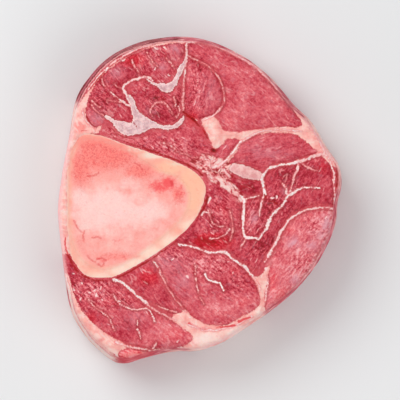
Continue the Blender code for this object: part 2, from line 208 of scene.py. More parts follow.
# Each muscle: how far it swells in mm, how pink it is from 0 to 1, which way its grain runs in degrees,
# and its outline
MUSCLES = {
    "upper_left": (0.8, 0.45, -52, [
        (-6, 57.5), (-13, 57.6), (-20, 55.9), (-26.4, 53.2), (-32.6, 49.2), (-37.6, 44.5), (-40.8, 39),
        (-42.2, 33.4), (-41.5, 29), (-39, 26.5), (-36, 28), (-34.5, 30), (-29.5, 29.5), (-25.5, 28.5),
        (-26, 34.5), (-28.5, 39), (-28, 42), (-23.5, 45), (-19.5, 45.5), (-16, 43.5), (-12, 44), (-9, 48),
        (-6.5, 52.5),
    ]),
    "hook_centre": (0.8, 0.5, -40, [
        (-21.5, 44), (-17.5, 42), (-14, 40), (-11, 39.5), (-9, 41.5), (-7, 40), (-8, 33), (-8.5, 29.5),
        (-13, 28), (-16.5, 29), (-20.5, 31.5), (-23, 35), (-26, 39.5), (-25, 42.5),
    ]),
    "behind_bone": (0.5, 0.54, -32, [
        (-36, 26), (-32.5, 26.5), (-30.5, 24.5), (-25.5, 23), (-20.5, 24), (-16.5, 25.5), (-12, 25),
        (-7.5, 26.5), (-5, 28.5), (-1.5, 26.5), (2, 22.5), (4.2, 19), (3.6, 16), (0, 12.4), (-3, 11.5),
        (-10.5, 14.9), (-20, 18.4), (-29.5, 22),
    ]),
    "upper_middle": (0.8, 0.5, 78, [
        (-4.5, 52.5), (0, 50), (5, 47), (8, 42), (8.5, 37.5), (6.5, 33), (4, 31), (-0.5, 30), (-4, 31.5),
        (-6, 35), (-5.5, 43.5),
    ]),
    "upper_right": (0.8, 0.62, -35, [
        (-4, 58), (3, 57), (11.5, 53.5), (20, 48.5), (27, 42), (33, 35), (37.6, 28.8), (36.4, 27),
        (30, 26.9), (24, 26.8), (19, 26.2), (14.5, 25.6), (10.8, 25.2), (8, 27), (7, 31), (9, 35.5),
        (9, 41.5), (6, 47.5), (1, 51), (-3.5, 53.5),
    ]),
    "right_lens": (0.6, 0.56, 12, [
        (15, 20.8), (18.4, 23), (22, 24.2), (26, 24.9), (31, 24.9), (35.5, 24), (39, 22), (41.6, 19.6),
        (43.4, 17.6), (38.5, 16), (33.5, 14.5), (28, 13.5), (23.5, 11.5), (18.5, 12.8), (14.5, 13.8),
        (10.2, 12.6), (11, 14.4), (13.2, 17.2), (14.6, 19.6),
    ]),
    "wedge": (0.4, 0.47, 50, [
        (10, 22.3), (12, 22.8), (14.8, 21.8), (12.8, 18.8), (10.6, 15.8), (7.8, 13.9), (5, 14.9),
        (5.1, 17.4), (7.2, 19.8),
    ]),
    "right_upper": (0.8, 0.44, 58, [
        (24, 8.5), (26, 11), (30, 12), (35, 13), (39.5, 14.5), (44.5, 16), (48, 13), (49, 7.5), (49.5, 1.5),
        (50, -1.5), (44.5, -1.5), (39, -2.5), (35, -4.5), (31.5, -7.5), (29, -12), (26, -17.5),
        (23.5, -21.5), (21, -25.5), (16.5, -23), (11, -18.5), (11.5, -14.5), (14, -11), (15, -4.5),
        (15.5, 0.5), (19.5, 1), (22.5, 1.5),
    ]),
    "under_strip": (0.4, 0.4, -18, [(11.5, 8), (17, 7), (22, 7), (22.5, 3), (18.5, 2), (16, 2), (12.5, 5)]),
    "beside_bone": (0.8, 0.48, -42, [
        (2.2, 7), (5, 6.6), (8, 5.4), (11.5, 2), (14.6, -2), (14.6, -9), (11.5, -14), (8.6, -17.8),
        (2.5, -18), (-3, -16.3), (-9.4, -15), (-3.7, -10.3), (0.3, -4.3), (2.3, 1.6),
    ]),
    "right_lower": (1.1, 0.73, 52, [
        (49.5, -4.5), (44.5, -4), (39.5, -4.5), (36, -6.5), (33, -9.5), (31, -12.5), (29, -17), (26.5, -21),
        (26, -24.5), (25, -28), (24.5, -31.5), (24, -35), (23.7, -38.5), (24.6, -41), (29.5, -38),
        (35.5, -32.5), (41, -26), (45.5, -19), (49, -12),
    ]),
    "lower_middle": (1.1, 0.58, -42, [
        (-16.4, -20.4), (-11, -16.6), (-8.6, -17), (-0.5, -19), (5, -20.5), (9, -20), (13.5, -23),
        (17.5, -27), (20.2, -30), (21.6, -33.5), (22.2, -37), (21.4, -39.8), (16.5, -42.5), (11.5, -45.5),
        (6, -46.5), (1, -45.5), (-3.5, -42.5), (-7.5, -37.5), (-12, -32), (-14.6, -27.5), (-16.2, -23.6),
    ]),
    "lower_inner": (0.5, 0.51, -52, [
        (-28.6, -28), (-26.5, -26.3), (-19.2, -22.1), (-17.6, -22.8), (-16, -26.6), (-13.9, -31.6),
        (-10.2, -37), (-6.5, -41.2), (-10.5, -41.7), (-16, -38.9), (-20.5, -35.9), (-25.4, -31.4),
    ]),
    "lower_left": (0.8, 0.56, -44, [
        (-50, -18), (-48.9, -20.6), (-44.9, -27.4), (-39, -29.9), (-33.4, -29.5), (-28, -33),
        (-22.5, -37.6), (-17, -41.3), (-11, -44.8), (-6, -47.5), (-2.5, -50.5), (-4.5, -53.5), (-11, -55),
        (-17.5, -55), (-25, -53.5), (-32, -50.5), (-38.5, -46.5), (-43.5, -41), (-46.8, -34), (-49, -25),
    ]),
    "tip": (0.4, 0.72, -20, [
        (-30.2, -56.6), (-27, -54.6), (-22, -55), (-17.5, -55.9), (-14.8, -56.8), (-19, -58.2),
        (-23, -59.4), (-27, -60.6), (-29.4, -59.2),
    ]),
}
CLEFT = [(-5.5, 32), (-2, 30), (0.5, 27.5), (3, 23.5), (5, 18.5)]

# Each strand of sheath that shows as a line: half its width in mm at its first and last point, how warm its
# colour is from 0, white, to 1, peach, and its points
STRANDS = (
    (0.44, 0.6, 0.55, [(46, 17), (43, 16.5), (39, 15), (36, 14)]),
    (0.52, 0.34, 0.15, [(36, 14), (34, 13.5), (31, 13), (28, 12.5), (25.5, 11.5), (23.5, 9.5)]),
    (0.42, 0.40, 0.1, [(23.5, 9.5), (23, 7.5), (23.5, 5), (24, 2)]),
    (0.32, 0.18, 0.5, [(24, 2), (23, -0.5), (22, -3.5), (22, -6)]),
    (0.16, 0.14, 0.75, [(37.5, 13.5), (40, 12), (43, 10.8)]),
    (0.3, 0.14, 0.75, [(36.2, 13), (36, 11.5), (35, 9.5), (34.5, 7), (33.6, 4.4), (32.6, 2)]),
    (0.14, 0.24, 0.7, [(30.6, 6), (31.8, 4), (32.5, 1.5)]),
    (0.16, 0.36, 0.2, [(44, 4.5), (40, 4.5), (37.5, 4.5), (35, 3), (32.5, 1.5)]),
    (0.38, 0.34, 0.15, [
        (32.5, 1.5), (31.5, -0.5), (29.5, -3), (26.5, -5.5), (25.5, -7.5), (24.5, -10.5), (23, -12.5),
    ]),
    (0.34, 0.38, 0.1, [
        (23, -12.5), (21.5, -14.5), (20.5, -14), (17, -14), (16, -12), (16, -7), (16, -3), (16.5, 0),
    ]),
    (0.44, 0.26, 0.3, [(16.5, 0), (15.2, 1.2), (13.6, 2)]),
    (0.24, 0.3, 0.5, [(11.8, 5), (10.4, 6.6)]),
    (0.26, 0.2, 0.6, [(8.6, 11.4), (9.6, 10), (11, 8.6)]),
    (0.24, 0.2, 0.6, [(2.6, 9.8), (4.4, 8.2), (6.2, 6.8)]),
    (0.2, 0.14, 0.75, [(-1.6, 13.4), (1.4, 15), (3.6, 14.6)]),
    (0.24, 0.16, 0.5, [(1.4, 12.8), (3.8, 13.6), (6.2, 15)]),
    (0.22, 0.14, 0.6, [(17, -14), (16, -16), (15.2, -17.2)]),
    (0.24, 0.18, 0.5, [(16.5, 0), (19, 1), (22, 1.5)]),
    (0.22, 0.32, 0.45, [(51, -3.5), (48, -3), (44.5, -3), (40, -3.5), (36, -5), (33, -7.5)]),
    (0.36, 0.56, 0.4, [(32.8, -7.5), (30.4, -11.2), (28.4, -15), (26.6, -18.4), (25.6, -20)]),
    (0.4, 0.2, 0.3, [(25.6, -20), (23.9, -22.8)]),
    (0.16, 0.2, 0.5, [(24.7, -28), (25, -31), (24.3, -35), (23.6, -39)]),
    (0.3, 0.25, 0.6, [(50.4, -4), (49.8, -8.5), (47.2, -15.2), (41.8, -24.8), (35, -33.2), (26.5, -40.6)]),
    (0.22, 0.36, 0.15, [(-8, -16.5), (-2, -17.5), (1.5, -19), (5, -19.5), (9, -19)]),
    (0.34, 0.40, 0.15, [(9, -19), (12, -21.5), (16, -24.5), (19.5, -28)]),
    (0.30, 0.16, 0.5, [(19.5, -28), (21.2, -30.6), (22, -33.6)]),
    (0.22, 0.12, 0.75, [(3, -3.5), (4, -6.5), (4.6, -8.6), (7, -9.6), (9, -9.6)]),
    (0.26, 0.3, 0.5, [(0.6, -5.2), (1.8, -4.4), (3, -4.6)]),
    (0.14, 0.2, 0.5, [(3.5, -14.5), (7, -14), (9.5, -12.5), (10.8, -10.8)]),
    (0.12, 0.12, 0.9, [(11, -4), (12, -8), (12, -11), (11, -15)]),
    (0.14, 0.12, 0.7, [(-1.5, -24.5), (-1.7, -27.5)]),
    (0.16, 0.12, 0.6, [(-1.4, -28.6), (-1, -31.5), (-0.7, -34)]),
    (0.1, 0.1, 0.9, [(0, -36), (1.6, -38.6)]),
    (0.42, 0.22, 0.0, [(2, -27.5), (3, -29.5), (6, -30.5), (7.5, -31), (9, -33.5)]),
    (0.3, 0.18, 0.35, [(-17.2, -22.2), (-15.6, -24.6)]),
    (0.15, 0.13, 0.85, [(-15.6, -24.6), (-13.5, -29.5), (-11, -34), (-8, -38), (-5, -41.5)]),
    (0.34, 0.50, 0.15, [(-32, -29.5), (-29, -30.5), (-26, -32.5), (-23.5, -35), (-20, -38)]),
    (0.3, 0.2, 0.8, [(-20, -38), (-17, -40.2), (-12.5, -43), (-9, -44.7)]),
    (0.14, 0.2, 0.8, [(-16, -38.9), (-12, -40.4), (-8.6, -41.4)]),
    (0.13, 0.14, 0.75, [(-41, -37), (-39.5, -39), (-35.5, -42), (-33, -44.5), (-31.6, -48)]),
    (0.14, 0.24, 0.55, [(-32, -35), (-30, -38), (-26, -40), (-23, -40.4), (-19.5, -40)]),
    (0.28, 0.1, 0.35, [(-19.5, -40), (-18.2, -41), (-17.6, -42.8), (-16.8, -45)]),
    (0.1, 0.14, 0.5, [(-23, -44.5), (-22.8, -46.2)]),
    (0.24, 0.14, 0.45, [(-23.2, -47.8), (-22.4, -49.2), (-21.8, -51)]),
    (0.24, 0.3, 0.5, [(-16.2, -52.8), (-16.8, -54), (-17.4, -55)]),
    (0.12, 0.34, 0.4, [(-33.2, 39.8), (-31.4, 38.2), (-29.4, 37), (-27.2, 35.4), (-26, 34.8)]),
    (0.1, 0.12, 0.95, [(-34, 36.8), (-31, 36.4), (-28.6, 36.2)]),
    (0.1, 0.12, 0.9, [(-40, 36.6), (-38.4, 35.2), (-36.6, 34.2)]),
    (0.12, 0.1, 0.9, [(-40.2, 35), (-38.4, 32.8), (-35.8, 31.2)]),
    (0.2, 0.12, 0.85, [(-19.4, 54.6), (-17.8, 51.8), (-15.6, 49)]),
    (0.12, 0.18, 0.85, [(-25, 51.6), (-23.8, 49), (-22.8, 47), (-22.2, 45.6)]),
    (0.1, 0.14, 0.9, [(-12.4, 52.4), (-11, 50.8), (-9.8, 49.2)]),
    (0.12, 0.14, 0.9, [(-18, 34), (-15.8, 36), (-13, 35.8), (-11, 33.6), (-10, 31.5)]),
    (0.12, 0.12, 0.9, [(-18, 34), (-18.4, 32.4), (-17.6, 31)]),
    (0.14, 0.14, 0.9, [(-9.5, 38), (-9, 36), (-9.2, 34.6)]),
    (0.22, 0.26, 0.5, [(-5, 58), (-5, 52.5), (-6, 45)]),
    (0.2, 0.22, 0.9, [(-6, 45), (-6.4, 38), (-6.3, 33)]),
    (0.2, 0.18, 0.8, [(-8.6, 30.6), (-7.6, 32.4), (-8, 34.4)]),
    (0.13, 0.13, 0.95, [(-4.5, 53.5), (-1, 51.4), (4, 48.6), (8, 43), (9, 37), (7.4, 33.5)]),
    (0.22, 0.24, 0.6, [(7.4, 33.5), (5, 31.2), (2.6, 30.2), (0.4, 29.6)]),
    (0.26, 0.3, 0.75, [
        (-5, 58.2), (2, 58.4), (10, 55.2), (20, 49.6), (27.4, 42.6), (33.6, 35.2), (40.4, 28), (46.2, 19),
    ]),
    (0.26, 0.26, 0.3, [(-33, 49.9), (-35, 48.1), (-37.3, 45.9), (-39.4, 43.3), (-41, 41)]),
    (0.3, 0.32, 0.6, [
        (-5.2, 58.5), (-10.2, 58.7), (-15.2, 58.2), (-20.2, 56.9), (-25, 54.9), (-29, 52.7), (-33, 50),
    ]),
    (0.3, 0.2, 0.45, [(46.2, 17), (47.4, 15.6), (48.6, 12.4), (49.4, 8.2), (49.7, 2.7), (49.9, -3)]),
    (0.26, 0.2, 0.5, [(47.2, 17.8), (49.8, 15.8), (51.2, 12.2), (51.7, 8), (51.4, 4)]),
    (0.12, 0.3, 0.5, [(-17.4, 44), (-18.8, 45), (-20.6, 45.5)]),
    (0.28, 0.4, 0.4, [(-20.6, 45.5), (-22.4, 45), (-24.6, 44.3), (-27.4, 42.9), (-28.8, 41.5)]),
    (0.40, 0.30, 0.3, [(-28.8, 41.5), (-28, 40.2), (-26.8, 38.4)]),
    (0.24, 0.34, 0.25, [(16.4, 22), (15.2, 21.4), (13.2, 19.2), (11.2, 16.4), (9, 14.2)]),
    (0.22, 0.2, 0.5, [(16.4, 22), (19, 23.8), (22.4, 25.1), (27, 25.9), (33, 25.8), (37.6, 25.4)]),
    (0.36, 0.50, 0.5, [(9, 14.2), (7, 12.8), (4.6, 12)]),
    (0.3, 0.2, 0.5, [(-31, -52.8), (-25, -54.3), (-20, -55.2), (-15.5, -56.2)]),
    (0.3, 0.24, 0.5, [(-4, -45.9), (2, -48), (8, -47.7), (13.4, -46), (19.4, -43)]),
    (0.14, 0.12, 0.85, [(-36.5, 44.6), (-35.9, 43.2), (-34.9, 41.8)]),
    (0.12, 0.18, 0.8, [(-31.6, 42.8), (-30.5, 41.7), (-29, 41.2)]),
    (0.2, 0.16, 0.5, [(-43.2, 33.5), (-42.6, 30.5), (-40.5, 27.8), (-38.5, 26.4)]),
    (0.2, 0.16, 0.5, [(40, 27), (43.4, 23.2), (45.4, 19), (46.2, 17)]),
    (0.12, 0.14, 0.8, [(-14, 21.4), (-11, 20), (-8.6, 18)]),
    (0.12, 0.12, 0.8, [(-7, 17.6), (-4, 16.2)]),
    (0.12, 0.14, 0.8, [(-31, 25), (-28, 23.4)]),
)

# White slivers: place, half width and length in mm, and the way each lies in degrees
FLECKS = (
    (24.5, -25.3, 0.55, 0.6, 60), (36, 12, 0.4, 0.8, 70), (31.7, 3, 0.4, 0.7, 110),
    (26.6, 0.8, 0.35, 0.9, 20), (28.2, 1.2, 0.28, 0.5, 80), (-4.4, -28.4, 0.32, 0.8, -60),
    (3.6, 0.5, 0.6, 0.6, 60), (3, -0.9, 0.25, 0.8, 60), (-28, 51.7, 0.32, 0.8, 30),
    (-22.7, 44.8, 0.54, 0.9, 35), (-34, 30.7, 0.36, 1.3, -15), (-11.4, 46.2, 0.2, 0.9, -30),
    (-16.5, 48.4, 0.2, 0.6, 70), (-16.2, 55.8, 0.26, 1.4, -25), (-13, 56, 0.24, 1.2, -35),
    (-38.6, -33.2, 0.28, 0.6, 40), (-38.4, -35, 0.36, 0.8, 80), (-40.6, -34.2, 0.2, 0.6, 10),
    (-36.6, -32.4, 0.2, 0.7, 60), (-36, -36.8, 0.22, 0.6, 120), (-1.6, 29.4, 0.22, 0.6, -40),
    (-44, -36.6, 0.2, 0.7, 70), (-46.4, -33, 0.18, 0.6, 100), (-46.6, -27.2, 0.18, 0.5, 30),
    (-43.6, -30.5, 0.18, 0.6, 130), (-29.8, -37.4, 0.2, 0.6, -30), (35.2, -32.6, 0.3, 0.5, 50),
    (24.9, -30.4, 0.24, 0.8, 95), (46.6, -6.4, 0.2, 0.7, 40), (-3.5, -43.5, 0.2, 0.6, 20),
    (15, 21.5, 0.2, 0.6, 30), (-8.2, -52, 0.18, 0.8, 60), (-24.6, -33.6, 0.35, 0.9, -45),
    (-20.6, -37.6, 0.42, 0.8, -10), (10.6, -22.8, 0.16, 0.7, 10), (12.2, -26.8, 0.16, 0.6, 60),
    (-10, -22, 0.16, 0.9, 30),
)

# Broad fat, drawn generously where a muscle bounds it
FAT = (
    [
        (-5.2, 58.7), (-10.2, 58.6), (-15.2, 58), (-20, 56.1), (-24.7, 54), (-28.6, 52.1), (-32.8, 49.5),
        (-36.4, 46.3), (-39.3, 42.9), (-41.6, 39.8), (-44, 36.4), (-46, 33), (-48, 29.5), (-53, 21),
        (-54, 5), (-54, -10), (-52, -19), (-46, -18), (-44, 0), (-44, 22), (-37.5, 25), (-36.5, 29),
        (-38, 38), (-32, 46), (-22, 53.5), (-8, 57),
    ],
    [
        (7.6, 21), (8, 25.5), (14, 25), (22, 26), (30, 27.5), (36, 28.5), (33, 36), (26, 44), (29, 45.5),
        (37, 37), (44, 30), (50, 20), (54, 12.5), (48.5, 12.5), (44, 16.8), (38, 17), (34, 20), (26, 21.5),
        (18, 19.5), (13.5, 15.5), (10.5, 11.5), (8.6, 13.4), (9.6, 17),
    ],
    [
        (0.5, 29), (4, 30.5), (6.5, 29.5), (9, 25), (10, 23), (8.6, 20.6), (7, 19.3), (5.4, 18.9),
        (4.3, 20.5), (3.2, 23.5), (1.5, 26.5),
    ],
    [
        (19, -28), (22, -28.5), (25.5, -24), (26, -33), (27, -39.5), (24, -45.5), (14, -52), (6, -56),
        (-6, -59), (-16, -59), (-20, -57), (-14, -54), (-7, -52), (-8, -50), (-7, -47), (-10.5, -43.6),
        (-5, -40.5), (-2, -43.5), (6, -45), (14, -42.5), (19, -39), (20, -33),
    ],
    [
        (-52, -27), (-48.5, -28), (-46, -35), (-42, -42), (-37, -47.5), (-31, -51.5), (-25, -54),
        (-22, -55.5), (-30, -56.5), (-29, -59.5), (-33, -62), (-41, -55), (-46, -49), (-50, -42),
        (-53, -30),
    ],
)
# The mottled knot of fat and sheath by the bone, and its arm to the right
KNOT = [
    (-4, 14.4), (-1.4, 16.2), (1.6, 17.2), (4, 16.6), (6, 16), (8.6, 15), (11, 13.6), (12, 11.6),
    (11.4, 9.6), (10.6, 8.4), (12.4, 6), (14.6, 3.6), (17, 0.8), (16.6, -1.4), (14.4, -0.6), (12, 1.6),
    (9.6, 3.6), (7, 5.4), (4.6, 6.4), (3, 8), (1.6, 9.8), (-1.4, 12.2),
]

# Grey-lilac tendon
TENDONS = (
    [
        (-35.2, 30.9), (-33.6, 30.9), (-31.5, 29.6), (-29, 29.2), (-27, 28.6), (-25.4, 28.4), (-24.8, 30.5),
        (-25.8, 33.5), (-26.2, 36), (-27.2, 38.2), (-26, 38.6), (-24.4, 36.8), (-23.4, 34), (-22, 32.2),
        (-19.6, 30.6), (-17, 29), (-14.5, 27.8), (-12, 27.4), (-9.5, 28.2), (-7.2, 30), (-5.8, 31.6),
        (-5.6, 29.8), (-8, 27), (-11, 26), (-14, 26.2), (-17, 26.5), (-20, 25.4), (-22.8, 24.2),
        (-25.8, 23.7), (-28.6, 24.4), (-30.6, 25.8), (-31.8, 27.8), (-33.6, 29.4),
    ],
    [
        (-20, 45), (-17.5, 43.5), (-14.5, 43), (-11.5, 43), (-9.5, 45), (-8.5, 47.5), (-7.5, 49.5),
        (-5.5, 52.5), (-5, 58), (-4.5, 55), (-5, 51), (-6, 48), (-7.5, 45), (-9, 42), (-11, 40),
        (-13.5, 40), (-15.5, 41.5), (-18, 43),
    ],
    [
        (11.6, 12.9), (13.6, 13.7), (18.5, 12.1), (22, 10.5), (23.6, 9), (22.4, 7.4), (18.6, 7.6),
        (14.8, 8.6), (12.4, 10), (11, 11.4),
    ],
)

# Lines where the meat parts, coloured partly as blood and partly as painted shade in the gap: half width in
# mm at the first and last point, and the points
CREASES = (
    (0.44, 0.62, [(-6.2, 32.6), (-4.6, 31.2), (-2.8, 30)]),
    (0.68, 0.3, [(-2.8, 30), (-1.7, 28.8), (-0.4, 27.4)]),
    (0.16, 0.16, [(-0.4, 27.4), (0.5, 26.6), (1, 26.2)]),
    (0.34, 0.28, [(1, 26), (1.8, 24.6), (2.8, 22.8)]),
    (0.02, 0.26, [(-34, 23.7), (-29.5, 22.1), (-20, 18.9)]),
    (0.28, 0.34, [(-20, 18.9), (-10.4, 15.5), (-2.8, 12), (1, 9)]),
    (0.55, 0.26, [(2.9, 1), (1.7, -2.6), (-0.8, -6.4)]),
    (0.08, 0.22, [(-5.8, -12.6), (-10.4, -16.5), (-18.8, -22.4)]),
    (0.28, 0.32, [(-18.8, -22.4), (-27.4, -27.3), (-30.6, -28.7)]),
    (0.22, 0.32, [(-36, -29.6), (-39.2, -29.7), (-44.6, -27.1)]),
    (0.34, 0.28, [(-44.6, -27.1), (-48.8, -20.3), (-49.9, -14)]),
    (0.1, 0.12, [(-43.6, 25.4), (-41, 25.7), (-38.4, 25.3)]),
    (0.85, 0.75, [(4.8, 18.3), (5.2, 18.2), (5.6, 18)]),
    (0.12, 0.1, [(-33.4, 27.4), (-30.4, 24.6), (-26.4, 22.8), (-22.4, 22.8), (-19, 24.4)]),
    (0.25, 0.2, [(-24.6, 28.8), (-23.8, 27.6), (-23.4, 26.8)]),
    (0.16, 0.14, [(-42, 31.4), (-41, 29), (-38.8, 27)]),
    (0.1, 0.2, [(-16.6, 38.8), (-14, 38), (-12.6, 37)]),
    (0.22, 0.1, [(11.6, 9.2), (13.4, 7.8), (17, 6.9)]),
    (0.25, 0.12, [(12.4, 4.8), (14.6, 2.6)]),
    (0.2, 0.24, [(25.2, -0.6), (27.2, -0.6), (28.6, -1.4)]),
    (0.3, 0.2, [(23.8, 2), (24.6, 0.4)]),
    (0.12, 0.14, [(-4.4, -45.4), (-1, -47.2), (2, -47.8)]),
    (0.18, 0.4, [(6, -47.2), (9.6, -46.8), (12.8, -46.2)]),
    (0.6, 0.3, [(14.4, -44.8), (16.4, -44), (18.6, -43.4)]),
    (0.22, 0.35, [(48.6, 15.6), (50.2, 12.4), (50.7, 8.6), (50.6, 5)]),
    (0.14, 0.24, [(-40, 41.6), (-38.6, 43.7), (-36.8, 45.7), (-35.4, 46.9)]),
    (0.16, 0.1, [(-28, -60.1), (-25, -59.6), (-22, -58.9)]),
    (0.08, 0.16, [(2, -15.8), (4.6, -16.6), (7.4, -16.9)]),
    (0.15, 0.4, [(0.4, -1.6), (1.6, -0.6), (2.6, 0.6)]),
    (0.2, 0.15, [(-44.6, -46.4), (-41.4, -49.2), (-37.8, -52.6), (-34, -55.6), (-31, -57.4)]),
)

# Soft oval zones on the cut: place and half widths in mm, and strength. The lean is pinker, deeper red,
# brighter red, under a painted pale sheen or coarse, a tendon is warm, or the fat is palest
DEEP_RED = (
    (17, 4.5, 5, 2, 0.5), (-16, 38.5, 5, 2.5, 0.4), (22, -16, 5, 4, 0.35), (41, 10, 6, 4, 0.35),
    (-15, 32, 3.5, 3, 0.4), (25, -2, 4, 3, 0.5), (-46, -24, 3, 5, 0.4), (10, -33, 6, 4, 0.3),
    (4, -15.6, 5, 2, 0.5), (-34, 44, 6, 4, 0.25), (-23, -46, 6, 3, 0.2), (43, -24, 4, 6, 0.15),
    (16.5, 7, 5, 2, 0.2), (4, -6, 3, 3, 0.3), (5, -8, 3, 4, 0.35),
)
VIVID = (
    (4.6, -15.6, 7.4, 3.4, 1.4), (-44.4, 27, 3.4, 3, 1.0), (-3, 30, 3, 3, 0.9), (1, 26, 2, 3.4, 0.7),
    (5.1, 18.2, 1.5, 1.5, 0.3), (-19, -28.5, 5, 4, 0.9), (-25, 51.5, 5, 3, 0.9), (-12, 54, 4, 3, 0.35),
    (-40, -43.5, 4, 3, 0.6), (-33, -38, 4, 3, 0.4), (30, -37, 4, 6, 0.6), (27, -30, 3, 6, 0.6),
    (33, -11, 3, 3, 0.5), (-9, -50, 7, 4, 0.5), (6, -42, 9, 4, 0.35), (8, -3, 4, 3, 0.4),
    (17, 5, 4, 2, 0.5), (46, 12, 4, 4, 0.5), (-15, 37, 4, 4, 0.35), (12, 29, 5, 4, 0.35),
    (13, -26, 4, 4, 0.4), (-3, -16, 4, 2, 0.5), (-23, -58.5, 9, 3.4, 1.1), (-45, -24, 3, 5, 0.5),
    (16, -38, 6, 4, 0.3), (-30, 43, 4, 3, 0.3), (-34, 29.5, 2, 1, 0.8),
)
PINKER = (
    (-12, -49.5, 8, 5, 1.6), (-6, -50, 4, 4, 1.4), (5, -40, 10, 5, 1.1), (18, -38, 4, 5, 0.6),
    (27, -36, 4, 6, 1.0), (-14, -31, 3, 5, 0.5), (-24, -57.6, 6, 2, 0.9), (-33, 47, 4, 4, 0.5),
    (30, -27, 4, 4, 0.4), (-13, 49, 4, 4, 0.4), (14, 29, 5, 3, 0.5), (-16, -20, 4, 2, 0.4),
    (43, 4, 8, 6, 0.85), (0, 46, 4, 5, 0.3),
)
# Where a painted pale sheen lies on the lean, standing for the shine of its wet surface
SHEEN_PATCHES = (
    (34.7, -15.8, 2.4, 2.2, 0.9), (41.5, -16.8, 3, 1.8, 0.7), (47, -9, 2.4, 3.4, 0.9),
    (35.2, -29.3, 1.8, 2.4, 0.8), (44, -13, 3, 2, 0.5), (45, -16.5, 1.6, 3, 0.5), (-13, -23, 5, 3, 0.4),
    (24, 17.5, 8, 3, 0.3), (-38, 30, 3, 3, 0.5), (4, 40, 3, 6, 0.25), (-7, -31, 4, 5, 0.35),
    (-9, 56, 2, 3, 0.6), (-14, 49.4, 2, 1.6, 0.6), (-30.5, 47, 2.5, 2, 0.5), (20, -6.5, 1.6, 2.2, 0.6),
    (32, 3.4, 1.6, 1.6, 0.6), (-18, 33, 2, 3, 0.3), (-24, -44, 4, 3, 0.3), (-9, -25, 4, 4, 0.3),
)
WARM_TENDON = ((17.5, 10.4, 9, 5, 1.2), (-9, 28.6, 4, 2.4, 0.5))
PALE_FAT = (
    (2, -51.4, 9, 3.4, 0.85), (13, -48.4, 6, 2.4, 0.7), (-4, -47, 4, 3, 0.4), (-10, -54.8, 5, 1.6, 0.6),
    (-32, -57.8, 3.4, 2.4, 1.0), (22, -41.5, 3, 2.4, 0.6), (-39, -51.4, 3, 4, 0.5), (-43.4, 37, 2, 5, 0.3),
    (6, 20.5, 2, 2, 0.5), (8.6, 6.6, 2, 1.4, 1.0), (10.8, 4.6, 1.8, 1.2, 1.0), (13, 2.4, 1.8, 1.2, 1.0),
    (15.2, 0.2, 1.4, 1.2, 0.8), (5.4, 12.4, 2.6, 1.2, 0.8), (4.8, 15.2, 2.4, 0.9, 0.6),
    (3.6, 9.2, 1.8, 0.9, 0.7), (9.4, 12.4, 1.6, 1, 0.5),
)
COARSE = (
    (-40, -33, 9, 6, 1.0), (-30, -36, 7, 4, 0.6), (-10, -21, 7, 3, 0.7), (4, -24, 9, 5, 0.8),
    (14, -30, 5, 6, 0.6), (-12, 19.5, 12, 3.5, 0.8), (6, -6, 6, 9, 0.7), (-16, 36, 6, 6, 0.5),
    (20, -8, 6, 7, 0.7), (27, -2, 6, 5, 0.8), (32, 8, 5, 4, 0.35), (22, -18, 6, 4, 0.6),
    (44, -10, 6, 6, 0.8), (38, -24, 6, 7, 0.7), (-37, 38, 6, 7, 0.6), (-17, 52, 8, 4, 0.4),
    (-1, 42, 3, 10, 0.7), (-7, 35, 2.5, 5, 0.9), (-24, -58, 6, 2, 0.6), (-33, 24.6, 4, 2, 0.9),
)

# Zones of colour on the cut of the bone and the marrow, in the same way
SALMON = (
    (-35, 17, 13, 7, 1.0), (-41, 21, 8, 4, 0.9), (-22, 11, 8, 4, 0.75), (-44, 12, 5, 9, 0.8),
    (-8, 2.5, 3, 4, 0.7), (-31, -21, 10, 2, 0.6), (-44, -16, 3, 4, 0.35), (-13, -2, 4, 3, 0.25),
)
PALE = (
    (-34, -3, 15, 8.6, 1.0), (-20, -4, 10, 6.5, 0.8), (-44, 0, 6, 6, 0.8), (-42, -9, 6, 5, 0.6),
    (-27, 5.4, 8, 3, 0.6), (-32, -11, 10, 5, 0.5), (-16, -9, 7, 4, 0.4),
)
BLOOD = (
    (-11.8, 6.2, 3, 2.3, 1.15), (-14.8, 5, 4.6, 2.4, 0.85), (-7.6, 2.6, 2, 3.4, 0.42),
    (-6.4, -0.6, 1.6, 1.6, 0.36), (-36, -22.6, 1.6, 1.1, 0.55), (-31, -15, 1.6, 1, 0.35),
    (-32, 17, 8, 3, 0.25),
)
ORANGE = ((-3, 4, 6, 9, 1.0), (-11, 12, 7, 3, 0.8), (-2, -2, 4, 4, 0.6), (-41, -27, 7, 2, 0.3))
CREAM = (
    (-3.4, -9.4, 4, 2.6, 1.0), (-10, -15.4, 5, 2.8, 1.2), (-17, -20, 5, 2.8, 1.2),
    (-23, -23.6, 5, 2.6, 1.1), (-29, -26, 5, 2.4, 1.0), (-37, -28.4, 6, 2, 0.8), (-44.5, -25, 3, 4, 0.5),
    (1.4, -2, 1.6, 6, 0.5),
)
IVORY = (
    (-31, 21.2, 4, 1.2, 0.7), (-25, 19.2, 6, 1.6, 1.0), (-17, 16.6, 6, 1.6, 0.8), (-8, 13.4, 5, 1.2, 0.5),
)
